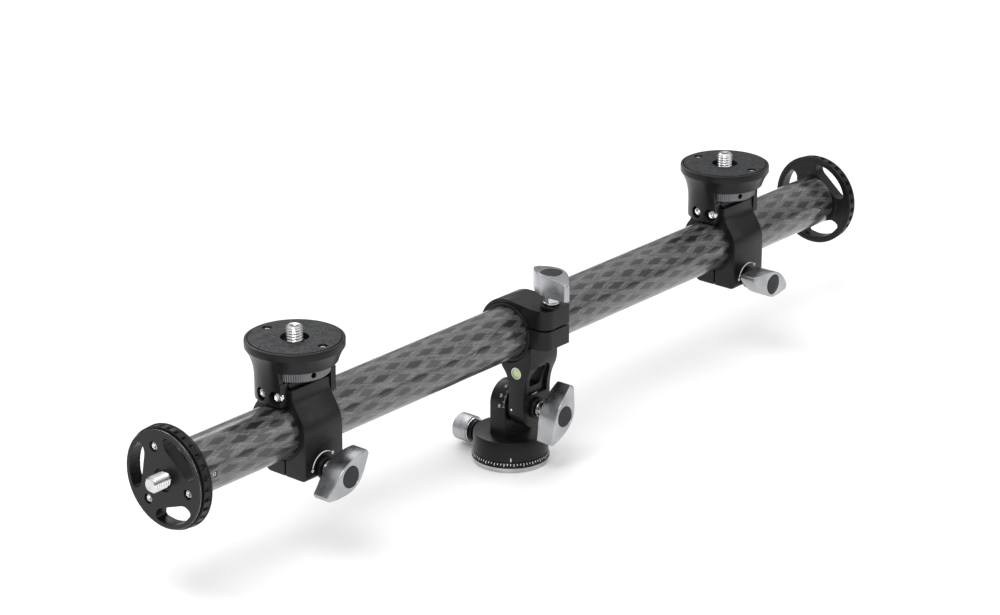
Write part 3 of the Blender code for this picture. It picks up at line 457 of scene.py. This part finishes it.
def endDisc(s):
    aim = "-X" if s == "left" else "+X"
    way = -1 if s == "left" else 1
    face, rim, grip, lip, plug = disc["thick"], disc["face"], disc["grip"], disc["lip"], disc["plug"]
    inner = (lowOf("end_disc_left")[0] + face) if s == "left" else (highOf("end_disc_right")[0] - face)
    at = np.array([inner, tubeMiddle[1], tubeMiddle[2]])
    profile = [(disc["bore"], face - 1.2), (6.5, face - 1.2), (6.5, face - 0.3), (6.8, face), (27.55, face),
               (rim, face - 0.45), (rim, face - 1.4), (27.2, face - 1.7), (27.2, face - 2.2),
               (28.6, face - 2.45), (grip, face - 2.8), (grip, face - 3.4), (grip, 4.4),
               (grip, 2.6), (grip, 2.0), (grip, 1.5), (lip, 1.1), (lip, 0.3),
               (29.0, 0.0), (27.0, 0.0), (26.6, 0.35), (18.5, 0.35), (18.2, 0.0), (plug, 0.0),
               (plug, 0.5 - disc["plugLength"]), (plug - 0.5, -disc["plugLength"]),
               (disc["bore"], -disc["plugLength"])]
    wheel = spun("endDisc_" + s, profile, at, aim, 0, 360, True, gripRim)
    # the aims' own x and y differ from the disc's, so angles are taken in the world's y and z
    for k in range(3):
        w = math.radians(disc["turn"]) + k * 2 * math.pi / 3
        y, z = -math.cos(w), math.sin(w)
        local = np.linalg.pinv(aims[aim]).T @ np.array([0, y, z])
        angle = math.atan2(local[1], local[0])
        shape = kidney(angle, disc["slotIn"], disc["slotOut"], math.radians(disc["slotHalf"]))
        carve(wheel, slab("slotTool", shape, -3, face + 3, at, aim))
    for k in range(1, 4):
        spot = middleOf(f"disc_set_screw_{s}_{k}")
        spot[0] = inner
        hole(wheel, disc["screwHole"], 0.6, face + 1, spot, aim)
        screw = socketScrew(f"discSetScrew_{s}_{k}", spot, aim, 0.7, face - 0.9, disc["screw"],
                            disc["socket"], 1.8, 0.25)
        finished(screw, "steelBright", "tube", f"disc_set_screw_{s}_{k}")
    hole(wheel, 1.6, 9, 15, np.array([inner - way * 15, tubeMiddle[1], tubeMiddle[2]]), "-Y", 24)
    finished(wheel, "blackAnodised", "tube", "end_disc_" + s)
    # turned bright chamfer round the outer face
    chamfer = [(27.5, face + 0.02), (28.02, face - 0.47), (28.02, face - 0.62), (27.4, face - 0.2)]
    finished(spun("discChamfer_" + s, chamfer, at, aim, 0, 240, True), "steelEdge", "tube")
    stud = threadedStud("endStud_" + s, at, aim, -19.5, face + disc["studOut"], disc["stud"])
    finished(stud, "steelBright", "tube", "end_stud_" + s)


for s in sides:
    endDisc(s)
print("tube and end discs")

wing = {"reach": 19.0, "hub": 8.3, "tip": 1.5, "depth": 13.0, "sag": 2.4, "edge": 0.55, "cap": 6.2, "neck": 4.4}


def wingKnob(prefix, at, aim, spin, height, body, washer=1.9):
    # a two-winged lozenge; rows draw its outline in at the edges, and the outer face falls by
    # sag (x / reach)^2
    sweep = ((0.74, 0.55), (0.28, 0.96), (-0.12, 1.0), (-0.43, 0.77), (-0.75, 0.40))
    half = [(wing["reach"], -wing["tip"], 0.9), (wing["reach"], wing["tip"], 0.9)]
    half += [(wing["reach"] * x, wing["hub"] * y, 9.0) for x, y in sweep]
    shape = easedOutline(half + [(-x, -y, r) for x, y, r in half], 8)
    ahead = np.roll(shape, -1, 0) - np.roll(shape, 1, 0)
    normal = np.stack([ahead[:, 1], -ahead[:, 0]], 1) / np.linalg.norm(ahead, axis=1)[:, None]
    bottom, e = height - wing["depth"], wing["edge"]
    t = np.linspace(0, np.pi / 2, 5)
    angles = np.arctan2(shape[:, 1], shape[:, 0])
    rim = np.stack([np.cos(angles), np.sin(angles)], 1)

    def row(xy, h, crowned):
        z = h - (wing["sag"] * (xy[:, 0] / wing["reach"]) ** 2 if crowned else 0)
        return np.concatenate([xy, (z + 0 * xy[:, 0])[:, None]], 1)

    rows = [row(rim * 1e-4, bottom, False), row(rim * wing["neck"], bottom, False)]
    rows += [row(shape - normal * e * (1 - np.sin(q)), bottom + e * (1 - math.cos(q)), False) for q in t]
    rows += [row(shape - normal * e * (1 - math.cos(q)), height - e * (1 - math.sin(q)), True) for q in t]
    inner = shape - normal * e
    for k in np.linspace(0, 1, 7)[1:]:
        rows.append(row(inner * (1 - k) + rim * (wing["cap"] + 0.35) * k, height, True))
    rows.append(row(rim * (wing["cap"] + 0.15), height - 0.35, False))
    rows.append(row(rim * (wing["cap"] + 0.15), height - 1.2, False))
    rows.append(row(rim * 1e-4, height - 1.2, False))
    grid = np.stack(rows)
    knob = meshOf(prefix + "_wing", stood(grid, at, aim, spin))
    finished(knob, "silverBlasted", body, prefix + "_knob")
    n, foot = wing["neck"], washer + 0.6
    neck = [(0, bottom + 0.2), (n - 0.1, bottom + 0.2), (n, bottom), (n, foot + 1.4), (n + 0.5, foot + 1.0),
            (n + 0.5, foot + 0.3), (n + 0.2, foot), (0, foot)]
    finished(spun(prefix + "_neckTurned", neck, at, aim, 0.15, 96), "steelEdge", body)
    c = wing["cap"]
    cap = [(0, height), (c - 0.3, height - 0.02), (c, height - 0.3), (c, height - 1.1), (0, height - 1.1)]
    finished(spun(prefix + "_capDisc", cap, at, aim, 0.1, 96), "capGrey", body, prefix + "_knob_cap")
    ringOf = [(3.4, washer + 0.3), (6.2, washer + 0.3), (6.6, washer - 0.1), (6.6, 1.35), (6.3, 1.25),
              (6.3, 1.1), (6.6, 1.0), (6.6, 0.6), (6.3, 0.3), (3.4, 0.3)]
    thrust = spun(prefix + "_thrustWasher", ringOf, at, aim, 0, 96, True)
    finished(thrust, "blackAnodised", body, prefix + "_washer")


def lockArc(name, at, aim, radius, start, end, body, width=0.75):
    # a printed arc, thin as paint, with a tapered start and a dot for the closed mark
    a = np.radians(np.linspace(start, end, 40))
    w = width / 2 * np.clip(np.linspace(0.25, 2.2, 40), 0, 1)
    outer = np.stack([(radius + w) * np.cos(a), (radius + w) * np.sin(a)], 1)
    inner = np.stack([(radius - w) * np.cos(a), (radius - w) * np.sin(a)], 1)[::-1]
    finished(slab(name, np.concatenate([outer, inner]), -0.02, 0.05, at, aim), "whiteMark", body)
    for k, angle in enumerate((start - 9, end + 9)):
        q = math.radians(angle)
        dot = ringPiece(f"{name}_mark{k}", 0.35, 0.95, -0.02, 0.05, at + radius * (
            math.cos(q) * aims[aim][0] + math.sin(q) * aims[aim][1]), aim, 0, 32)
        finished(dot, "whiteMark", body)


clamp = {"half": 15.0, "outer": 20.5, "bore": 17.6, "foot": -25.7, "bolt": -21.4, "slit": -5.0,
         "knobTall": 20.1}
spins = {"left": math.radians(30), "right": math.radians(-22)}


def clampBody(s):
    # one (y, z) outline with eased corners, 30 mm wide
    at = clampAt[s]
    r, f = clamp["outer"], clamp["foot"]
    strap = [(-9.0, 29.9, 0.3), (-9.0, 26.4, 0), (-11.5, 26.3, 0.5), (-11.7, 19.0, 4.3)]
    strap += [(y, z, 0) for y, z in arcLine(r, 145, 180, 12)]
    strap += [(-r, f - 0.3, 3.2), (9.0, f - 0.3, 3.0)]
    leg = [(y, z, 0) for y, z in arcLine(r, -46, 40, 16)]
    back = [(12.6, 19.5, 3.0), (12.6, 29.9, 0.6)]
    body = sideSlab("clampShell_" + s, easedOutline(strap + leg + back, 10), clamp["half"], at, 0.45)
    hole(body, clamp["bore"], -40, 40, at, "+X", 128)
    slit = box("slitTool", (-40, clamp["slit"] - 0.6, -60), (40, clamp["slit"] + 0.6, -8), at)
    carve(body, slit)
    hole(body, 2.8, -7.3, 30, at + np.array([0, 0, clamp["bolt"]]), "-Y")
    for place in ("front", "rear"):
        spot = middleOf(f"cross_screw_{s}_{place}")
        spot[0] = at[0]
        hole(body, 2.1, 8.5, 22, spot, "-X")
    finished(body, "blackAnodised", s + "_clamp", "clamp_body_" + s)
    gap = math.degrees(math.asin(0.6 / 17))
    lineOut = arcLine(17.3, -90 - 16.5 + gap, 270 - 16.5 - gap, 100)
    lineIn = arcLine(16.3, 270 - 16.5 - gap, -90 - 16.5 + gap, 100)
    liner = sideSlab("clampBush_" + s, np.concatenate([lineOut, lineIn]), 15.0, at)
    finished(liner, "linerNylon", s + "_liner", "clamp_liner_" + s)


pedestalSizes = {"neck": 22.8, "rim": 28.0, "foot": 17.0, "top": 50.6, "wheelLow": 31.0, "wheelHigh": 37.6,
                 "padIn": 8.0, "padOut": 25.8, "legLeft": 8.6, "legRight": 12.2}


def pedestalOf(s):
    at = clampAt[s]
    p = pedestalSizes
    t = np.linspace(0, 1, 22)
    # flare: r = neck + (rim - neck) (1 - t)^2.6 while h falls from the rim to the waist
    flare = [(p["neck"] + (p["rim"] - p["neck"]) * (1 - q) ** 2.6, 46.4 - 20.0 * q) for q in t]
    profile = [(5.1, 48.2), (8.0, 48.2), (8.0, 49.7), (26.15, 49.7), (26.15, 50.35), (26.4, p["top"]),
               (27.3, p["top"]), (27.85, 50.3), (p["rim"], 49.7), (p["rim"], 47.3)] + flare
    profile += [(p["neck"], 17.5), (21.7, p["foot"]), (7.7, p["foot"]), (7.7, 30.7), (20.1, 30.7),
                (20.1, 37.9), (5.1, 37.9)]
    seat = spun("pedestalShell_" + s, profile, at, "+Z", 0, 200, True)
    carve(seat, box("channelTool", (-15.3, -60, 0), (15.3, 60, 31.2), at))
    corners = easedOutline([(-26, 30.9, 0), (26, 30.9, 0), (26, 38.0, 1.6), (-26, 38.0, 1.6)])
    carve(seat, slab("openingTool", corners, 8.2, 60, at, "-Y"))
    # the left leg is cut back further than the right one
    carve(seat, slab("legTool", [(-26, 0), (0, 0), (0, 31.5), (-26, 31.5)], p["legLeft"], 60, at, "-Y"))
    carve(seat, slab("legTool", [(0, 0), (26, 0), (26, 31.5), (0, 31.5)], p["legRight"], 60, at, "-Y"))
    for place in ("front", "rear"):
        spot = middleOf(f"cross_screw_{s}_{place}")
        spot[0] = at[0]
        head = at[0] - lowOf(f"cross_screw_{s}_{place}")[0]
        hole(seat, 3.85, head - 2.5, 40, spot, "-X")
        hole(seat, 2.1, 5, 30, spot, "-X")
        screw = socketScrew(f"crossScrew_{s}_{place}", spot, "-X", head - 2.2, head, 3.5, 1.5, 1.5, 0.8)
        finished(screw, "steelBright", s + "_clamp", f"cross_screw_{s}_{place}")
        eye = middleOf(f"pad_screw_{s}_{place}")
        eye[2] = at[2]
        hole(seat, 2.75, 44.5, 60, eye, "+Z")
        stop = socketScrew(f"padScrew_{s}_{place}", eye, "+Z", 45.4, 49.9, 2.4, 1.2, 1.4, 0.1)
        finished(stop, "steelBright", s + "_clamp", f"pad_screw_{s}_{place}")
    finished(seat, "blackAnodised", s + "_clamp", "pedestal_" + s)
    pad = ringPiece("pad_" + s, p["padIn"], p["padOut"], 50.0, 50.9, at, "+Z", 0.3, 160)
    for place in ("front", "rear"):
        eye = middleOf(f"pad_screw_{s}_{place}")
        eye[2] = at[2]
        hole(pad, 2.75, 45, 60, eye, "+Z")
    finished(pad, "padRubber", s + "_clamp", "top_pad_" + s)


def wheelTeeth(r, h, a):
    # straight ridges: r - 0.32 |sin(48 a)|^1.5 on the rim only
    return np.where(r > 19.2, r - 0.32 * np.abs(np.sin(48 * a)) ** 1.5, r)


def cameraScrew(s, holeAngle):
    at = clampAt[s]
    low, high = pedestalSizes["wheelLow"], pedestalSizes["wheelHigh"]
    profile = [(5.1, high), (18.8, high), (19.5, high - 0.6), (19.5, low + 0.6), (18.8, low), (5.1, low)]
    wheel = spun("thumbwheelShell_" + s, profile, at, "+Z", 0, 480, True, wheelTeeth)
    a = math.radians(holeAngle)
    # a rod of radius 1.6 from 12 to 30 mm out: p = at + d out + 1.6 (cos t across, sin t up)
    out, across = np.array([math.cos(a), math.sin(a), 0]), np.array([-math.sin(a), math.cos(a), 0])
    middle = at + np.array([0, 0, (low + high) / 2])
    edge = circle(1.6, 32)
    loop = edge[:, :1] * across + edge[:, 1:] * np.array([0, 0, 1.0])
    rod = meshOf("tommyTool", np.stack([middle + out * d + loop for d in (12, 30)]), caps=True)
    carve(wheel, rod)
    finished(wheel, "wheelGrey", s + "_camera_screw", "thumbwheel_" + s)
    stud = threadedStud("cameraStud_" + s, at, "+Z", low, 57.8, 4.76)
    finished(stud, "steelBright", s + "_camera_screw", "camera_stud_" + s)


for s in sides:
    clampBody(s)
    pedestalOf(s)
    cameraScrew(s, -105 if s == "left" else -112)
    knobAt = clampAt[s] + np.array([0, -clamp["outer"], clamp["bolt"]])
    wingKnob(f"clamp_{s}", knobAt, "-Y", spins[s], clamp["knobTall"], s + "_clamp_lock")
    lockArc(f"clampLock_{s}", knobAt, "-Y", 9.6, 55, 165, s + "_clamp")
print("clamps")

arm = {"half": 12.5, "collarHalf": 11.1, "collar": 20.5, "bore": 18.5, "flare": 5.6, "earFront": -30.1,
       "earLow": -5.8, "earHigh": 18.7}
rearFace, frontFace = -2.95, -14.25
hingeZ = hinge[2] - collar[2]


def armSide(shift=0.0, far=None):
    # the arm's front line from its foot up, shifted backwards, or the whole side outline
    n = hingeZ + 13.5
    front = [(frontFace + shift, hingeZ, 0), (frontFace + shift, n, 12), (frontFace - 1.6 + shift, n + 8, 7),
             (frontFace - arm["flare"] + shift, n + 16, 7), (frontFace - arm["flare"] + shift, -5.6, 0)]
    if far is not None:
        foot = [(far, hingeZ - 14, 0), (frontFace + shift, hingeZ - 14, 0)]
        return easedOutline(foot + front[1:] + [(far, -5.6, 0)], 8)
    back = [(0, -11.8, 0), (4.4, -19.6, 4), (rearFace + 1.3, n + 8, 7), (rearFace, n, 12),
            (rearFace, hingeZ, 0)]
    return easedOutline(front + back, 8)


def tiltArm():
    at = collar
    body = sideSlab("tiltArmShell", armSide(), arm["half"], at, 0.4)
    pivot = at + np.array([0, 0, hingeZ])
    carve(body, slab("footTool", circle(arm["half"], 128), -rearFace, -frontFace, pivot, "-Y", 0, 0.4), "UNION")
    half = arm["collarHalf"]
    ring = slab("collarTool", circle(arm["collar"], 160), -half, half, at, "+X", 0, 0.6)
    carve(body, ring, "UNION")
    front, low, high = arm["earFront"], arm["earLow"], arm["earHigh"]
    side = easedOutline([(front, low, 0.5), (front, high, 0.5), (-18.1, high, 0), (-2.1, 20.35, 0),
                         (0, low, 0)])
    ears = sideSlab("earTool", side, half + 1, at)
    plan = easedOutline([(-half, front, 7.3), (half, front, 0.7), (half, 5, 0), (-half, 5, 0)], 12)
    carve(ears, slab("planTool", plan, -30, 40, at), "INTERSECT")
    carve(body, ears, "UNION")
    hole(body, arm["bore"], -40, 40, at, "+X", 160)
    carve(body, box("slitTool", (-40, -45, 5.9), (40, -8, 7.1), at))
    # recessed field inside a raised arch on the front face
    field = sideSlab("fieldTool", armSide(2.0, -60), 12, at)
    crown = [(x, z - 27.5) for x, z in arcLine(9.2, 0, 180, 40)]
    archPlan = crown + [(-9.2, hingeZ + 9), (9.2, hingeZ + 9)]
    carve(field, slab("archTool", archPlan, 5, 60, at, "-Y"), "INTERSECT")
    carve(body, field)
    w = [(-4.75, -34.0, 1.0), (4.75, -34.0, 1.0), (6.5, -23.4, 2.4), (4.6, -21.3, 1.5), (-4.6, -21.3, 1.5),
         (-6.5, -23.4, 2.4)]
    carve(body, slab("windowTool", easedOutline(w, 6), -20, 40, at, "-Y"))
    hole(body, 3.3, 0, 30, pivot, "-Y")
    hole(body, 3.3, -2.9, 25, at + np.array([0, -25.0, 0]), "+Z")
    level = middleOf("bubble_level")
    level[0] = lowOf("tilt_arm")[0]
    hole(body, 4.0, -4.3, 2, level, "-X", 64)
    finished(body, "blackAnodised", "tilt_arm", "tilt_arm")
    vial = [(0, -0.25), (1.6, -0.3), (2.9, -0.55), (2.95, -3.9), (0, -3.9)]
    finished(spun("levelVialDome", vial, level, "-X", 0, 64), "levelVial", "tilt_arm", "bubble_level")
    rim = ringPiece("levelRing", 3.0, 3.72, -3.8, -0.05, level, "-X", 0.15, 64)
    finished(rim, "steelEdge", "tilt_arm")
    gap = math.degrees(math.asin(0.6 / 17.5))
    mid = 180 - math.degrees(math.asin(6.5 / 17.5))
    lineOut = arcLine(18.2, mid - 360 + gap, mid - gap, 120)
    lineIn = arcLine(16.3, mid - gap, mid - 360 + gap, 120)
    reach = highOf("collar_liner")[0] - collar[0]
    liner = sideSlab("collarBush", np.concatenate([lineOut, lineIn]), reach, at, 0.25)
    finished(liner, "linerNylon", "collar_liner", "collar_liner")


tiltArm()
tiltKnobAt = np.array([hinge[0], collar[1] + frontFace, hinge[2]])
wingKnob("tilt", tiltKnobAt, "-Y", math.radians(59), 22.0, "tilt_lock")
lockArc("tiltLock", tiltKnobAt + np.array([0, 1.1, 0]), "-Y", 9.2, 60, 160, "tilt_arm", 0.7)
wingKnob("collar", collar + np.array([0, -25.0, 18.7]), "+Z", math.radians(68), 22.0, "collar_lock")
friction = ringPiece("frictionRing", 3.3, 10.5, 6.15, 8.55, hinge, "-Y")
finished(friction, "linerNylon", "turntable", "hinge_friction_washer")
boltLine = [(0, 31.0), (3.0, 31.0), (3.0, -6.15), (6.9, -6.15), (6.9, -8.6), (6.3, -9.15), (3.0, -9.15),
            (2.5, -8.9), (2.5, -7.4), (0, -7.2)]
bolt = spun("hingeBolt", boltLine, hinge, "-Y", 0.15, 96)
finished(bolt, "steelEdge", "turntable", "tilt_bolt")
dotAt = np.array([hinge[0] - 12.5, collar[1] - 5.0, hinge[2]])
dot = ringPiece("armIndex", 0.05, 0.6, -0.02, 0.05, dotAt, "-X", 0, 32)
finished(dot, "whiteMark", "tilt_arm")
print("tilt arm")

base = {"drum": 22.8, "drumTop": 19.2, "foot": 23.6, "stand": 12.5, "standHalf": 5.85, "spindle": 14.0,
        "knob": 8.4, "knobStart": 28.4, "ticks": 72, "tickHalf": 0.17}


def panningBase():
    at = baseMiddle * np.array([1, 1, 0])
    foot, drumR, top, spindle = base["foot"], base["drum"], base["drumTop"], base["spindle"]
    ring = [(7.3, 14.0), (13.7, 14.0), (spindle, 13.7), (spindle, 6.2), (22.5, 6.2), (drumR, 5.95),
            (foot, 4.2), (foot, 3.3), (7.3, 3.3)]
    finished(spun("baseRingShell", ring, at, "+Z", 0, 240, True), "blackAnodised", "base", "base_ring")
    lower = [(7.3, 3.25), (foot, 3.25), (foot, 2.6), (22.7, 0.35), (22.35, 0.0), (15.5, 0.0), (15.2, 0.35),
             (8.6, 0.35), (8.3, 0.0), (7.3, 0.0)]
    finished(spun("baseChamfer", lower, at, "+Z", 0, 240, True), "steelEdge", "base")
    h = np.linspace(0, 14.0, 90)[:, None]
    a = np.linspace(0, 2 * np.pi, 56, endpoint=False)[None, :]
    r = 4.85 + 0.7 * np.abs(2 * ((h / 1.5875 - a / (2 * np.pi)) % 1) - 1)
    bore = np.stack([r * np.cos(a), r * np.sin(a), h + 0 * a], -1)
    shell = np.stack([7.0 * np.cos(a), 7.0 * np.sin(a), 0 * a], -1)
    grid = np.concatenate([bore, shell + np.array([0, 0, 14.0]), shell])
    finished(meshOf("threadBush", stood(grid, at), True), "steelEdge", "base", "base_thread_bush")
    drum = [(0, top), (21.9, top), (22.5, 19.0), (drumR, 18.5), (drumR, 6.9), (22.5, 6.5), (14.3, 6.5),
            (14.3, 14.3), (0, 14.3)]
    body = spun("turntableShell", drum, at, "+Z", 0, 240)
    wide, thick = base["stand"], base["standHalf"]
    stand = [(-wide, 15.3, 0), (wide, 15.3, 0)]
    stand += [(x, y + hinge[2], 0) for x, y in arcLine(wide, 0, 180, 64)]
    carve(body, slab("standTool", easedOutline(stand), -thick, thick, at, "-Y", 0, 0.4), "UNION")
    hole(body, 3.3, -20, 20, hinge, "-Y")
    pan = at + np.array([0, 0, 10.8])
    hole(body, 2.8, 7, 30, pan, "+Y")
    finished(body, "blackAnodised", "turntable", "turntable")
    # knob: fine straight ridges between two smooth bands, a bright collar and a black neck
    y0, wide = base["knobStart"], base["knob"]
    prof = [(0, y0 + 11.6), (7.6, y0 + 11.6), (8.2, y0 + 11.3), (wide, y0 + 10.9), (wide, y0 + 10.2),
            (wide, y0 + 9.9), (wide, y0 + 2.4), (wide, y0 + 2.1), (wide, y0 + 1.4), (8.0, y0 + 0.9),
            (0, y0 + 0.9)]

    def ridges(r, h, q):
        # r - 0.1 |sin(40 q)| between the two smooth bands
        band = (r > wide - 0.1) & (h > y0 + 2.2) & (h < y0 + 10.1)
        return np.where(band, r - 0.1 * np.abs(np.sin(40 * q)), r)

    knob = spun("panKnobGrip", prof, pan, "+Y", 0, 320, False, ridges)
    finished(knob, "silverBlasted", "pan_lock", "pan_lock_knob")
    flange = [(0, y0 + 1.0), (7.7, y0 + 1.0), (7.9, y0 + 0.8), (7.9, y0 + 0.25), (7.6, y0), (0, y0)]
    finished(spun("panKnobCollar", flange, pan, "+Y", 0, 128), "steelBright", "pan_lock")
    neck = [(0, y0 + 0.1), (6.4, y0 + 0.1), (6.6, y0 - 0.4), (6.6, y0 - 2.0), (5.2, y0 - 2.6),
            (5.2, y0 - 5.0), (0, y0 - 5.0)]
    finished(spun("panKnobNeck", neck, pan, "+Y", 0, 128), "blackAnodised", "pan_lock")


panningBase()


def scaleTicks():
    # a tick every 5 degrees, longer at 15 and 45, lying 0.04 mm proud of the flared cone under the drum
    at = baseMiddle * np.array([1, 1, 0])
    marks = []
    for k in range(base["ticks"]):
        a = math.radians(5 * k)
        top = 6.0
        low = 5.0 if k % 3 else 4.5
        w = base["tickHalf"]
        q = np.array([-w, w, w, -w])
        z = np.array([low, low, top, top])
        r = 22.8 + (5.95 - z) * 0.8 / 1.75 + 0.05
        across = np.stack([r * math.cos(a) - q * math.sin(a), r * math.sin(a) + q * math.cos(a), z], 1)
        inside = across * np.array([0.995, 0.995, 1])
        marks.append(np.stack([across, inside]))
    verts = np.concatenate(marks).reshape(-1, 3) + at
    faces = []
    for k in range(base["ticks"]):
        b = 8 * k
        faces += [[b, b + 1, b + 2, b + 3], [b + 7, b + 6, b + 5, b + 4]]
        faces += [[b + i, b + 4 + i, b + 4 + (i + 1) % 4, b + (i + 1) % 4] for i in range(4)]
    mesh = bpy.data.meshes.new("baseScale")
    mesh.from_pydata((verts * mm).tolist(), [], faces)
    piece = bpy.data.objects.new("baseScale", mesh)
    bpy.context.scene.collection.objects.link(piece)
    bm = bmesh.new()
    bm.from_mesh(mesh)
    bmesh.ops.recalc_face_normals(bm, faces=bm.faces)
    bm.to_mesh(mesh)
    bm.free()
    finished(piece, "whiteMark", "base")


scaleTicks()
facing = math.radians(shoot["azimuth"] - 90)
index = [(22.77, -0.3), (22.86, -0.3), (22.86, 0.3), (22.77, 0.3)]
panIndex = slab("panIndex", index, 7.4, 9.6, baseMiddle * np.array([1, 1, 0]), "+Z", facing)
finished(panIndex, "whiteMark", "turntable")


def lettering(name, text, size, thick=0.04):
    curve = bpy.data.curves.new(name, "FONT")
    curve.body = text
    curve.size = size
    curve.align_x = "CENTER"
    curve.align_y = "CENTER"
    curve.extrude = thick
    holder = bpy.data.objects.new(name, curve)
    bpy.context.scene.collection.objects.link(holder)
    bpy.context.view_layer.update()
    mesh = bpy.data.meshes.new_from_object(holder.evaluated_get(bpy.context.evaluated_depsgraph_get()))
    bpy.data.objects.remove(holder)
    co = np.zeros(len(mesh.vertices) * 3)
    mesh.vertices.foreach_get("co", co)
    return mesh, co.reshape(-1, 3)


def wrapped(name, text, size, turnTo, height, radius, body):
    # (x, y) laid on the stand's crown: angle = turn - x / R about the hinge, depth along Y
    mesh, p = lettering(name, text, size)
    a = math.radians(90 - turnTo) - p[:, 0] / radius
    r = radius + p[:, 2]
    out = np.stack([hinge[0] + r * np.cos(a), hinge[1] + height + p[:, 1], hinge[2] + r * np.sin(a)], 1)
    mesh.vertices.foreach_set("co", (out * mm).ravel())
    piece = bpy.data.objects.new(name, mesh)
    bpy.context.scene.collection.objects.link(piece)
    bm = bmesh.new()
    bm.from_mesh(mesh)
    bmesh.ops.remove_doubles(bm, verts=bm.verts, dist=1e-6)
    bmesh.ops.recalc_face_normals(bm, faces=bm.faces)
    bm.to_mesh(mesh)
    bm.free()
    finished(piece, "whiteMark", body)


for turnTo in (-90, -60, -30, 0, 30, 60, 90):
    wrapped(f"tiltNumber{turnTo + 90}", str(abs(turnTo)), 2.3, turnTo, -1.6, 12.51, "turntable")
for k in range(-18, 19):
    if k % 3:
        wrapped(f"tiltTick{k + 18}", "|", 1.2, 5 * k, -4.9, 12.51, "turntable")
    else:
        wrapped(f"tiltTick{k + 18}", "|", 2.0, 5 * k, -4.6, 12.51, "turntable")
print("base")

kept = {"clamp_left_bolt": "steelEdge", "clamp_right_bolt": "steelEdge", "collar_bolt": "steelEdge",
        "pan_lock_screw": "steelEdge", "pan_brake_shoe": "brassPlain"}
for node, look in kept.items():
    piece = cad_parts[node]
    piece.data.materials.clear()
    piece.data.materials.append(materials[look])

studio = {"floor": 0.95, "skyLow": 0.06, "skyHigh": 1.25, "key": 15.0, "fill": 3.0, "back": 5.0}


def studioFloor():
    mesh = bpy.data.meshes.new("studioFloor")
    d = 6.0
    mesh.from_pydata([(-d, -d, 0), (d, -d, 0), (d, d, 0), (-d, d, 0)], [], [(0, 1, 2, 3)])
    floor = bpy.data.objects.new("studioFloor", mesh)
    bpy.context.scene.collection.objects.link(floor)
    material, _, shader = newMaterial("paleFloor")
    shader.inputs["Base Color"].default_value = (studio["floor"],) * 3 + (1,)
    shader.inputs["Roughness"].default_value = 0.7
    mesh.materials.append(material)


def softbox(name, at, aimAt, size, power):
    light = bpy.data.lights.new(name, "AREA")
    light.shape = "RECTANGLE"
    light.size, light.size_y = size
    light.energy = power
    holder = bpy.data.objects.new(name, light)
    bpy.context.scene.collection.objects.link(holder)
    at, aimAt = np.array(at), np.array(aimAt)
    holder.location = at
    holder.rotation_euler = Vector(aimAt - at).to_track_quat("-Z", "Y").to_euler()


def cameraAndLight():
    world = bpy.data.worlds.new("studioSky")
    bpy.context.scene.world = world
    world.use_nodes = True
    # a dim room at eye level under a bright ceiling
    tree = world.node_tree
    look = joined(tree, "ShaderNodeTexCoord", {}).outputs["Generated"]
    way = joined(tree, "ShaderNodeSeparateXYZ", {"Vector": look})
    rise = joined(tree, "ShaderNodeMapRange", {"Value": way.outputs["Z"], "From Min": 0.0, "From Max": 0.9,
                                               "To Min": studio["skyLow"], "To Max": studio["skyHigh"]})
    backdrop = tree.nodes["Background"]
    backdrop.inputs["Color"].default_value = (1, 1, 1, 1)
    tree.links.new(rise.outputs["Result"], backdrop.inputs["Strength"])
    bpy.context.scene.view_settings.view_transform = "Standard"
    softbox("keyLight", (-1.1, -0.5, 1.5), (0, 0, 0.08), (0.9, 0.5), studio["key"])
    softbox("fillLight", (0.9, -1.3, 0.7), (0, 0, 0.08), (0.8, 0.8), studio["fill"])
    softbox("backLight", (0.4, 1.3, 1.1), (0, 0, 0.08), (1.4, 0.4), studio["back"])
    lens = bpy.data.cameras.new("camera")
    lens.lens = shoot["lens"]
    lens.sensor_width = 36
    lens.sensor_fit = "HORIZONTAL"
    holder = bpy.data.objects.new("camera", lens)
    bpy.context.scene.collection.objects.link(holder)
    az, el = math.radians(shoot["azimuth"]), math.radians(shoot["elevation"])
    back = Vector((math.sin(az) * math.cos(el), -math.cos(az) * math.cos(el), math.sin(el)))
    target = Vector(shoot["aim"]) * mm
    holder.location = target + back * shoot["distance"]
    holder.rotation_euler = back.to_track_quat("Z", "Y").to_euler()
    bpy.context.scene.camera = holder


studioFloor()
cameraAndLight()
print("studio")

print("done")
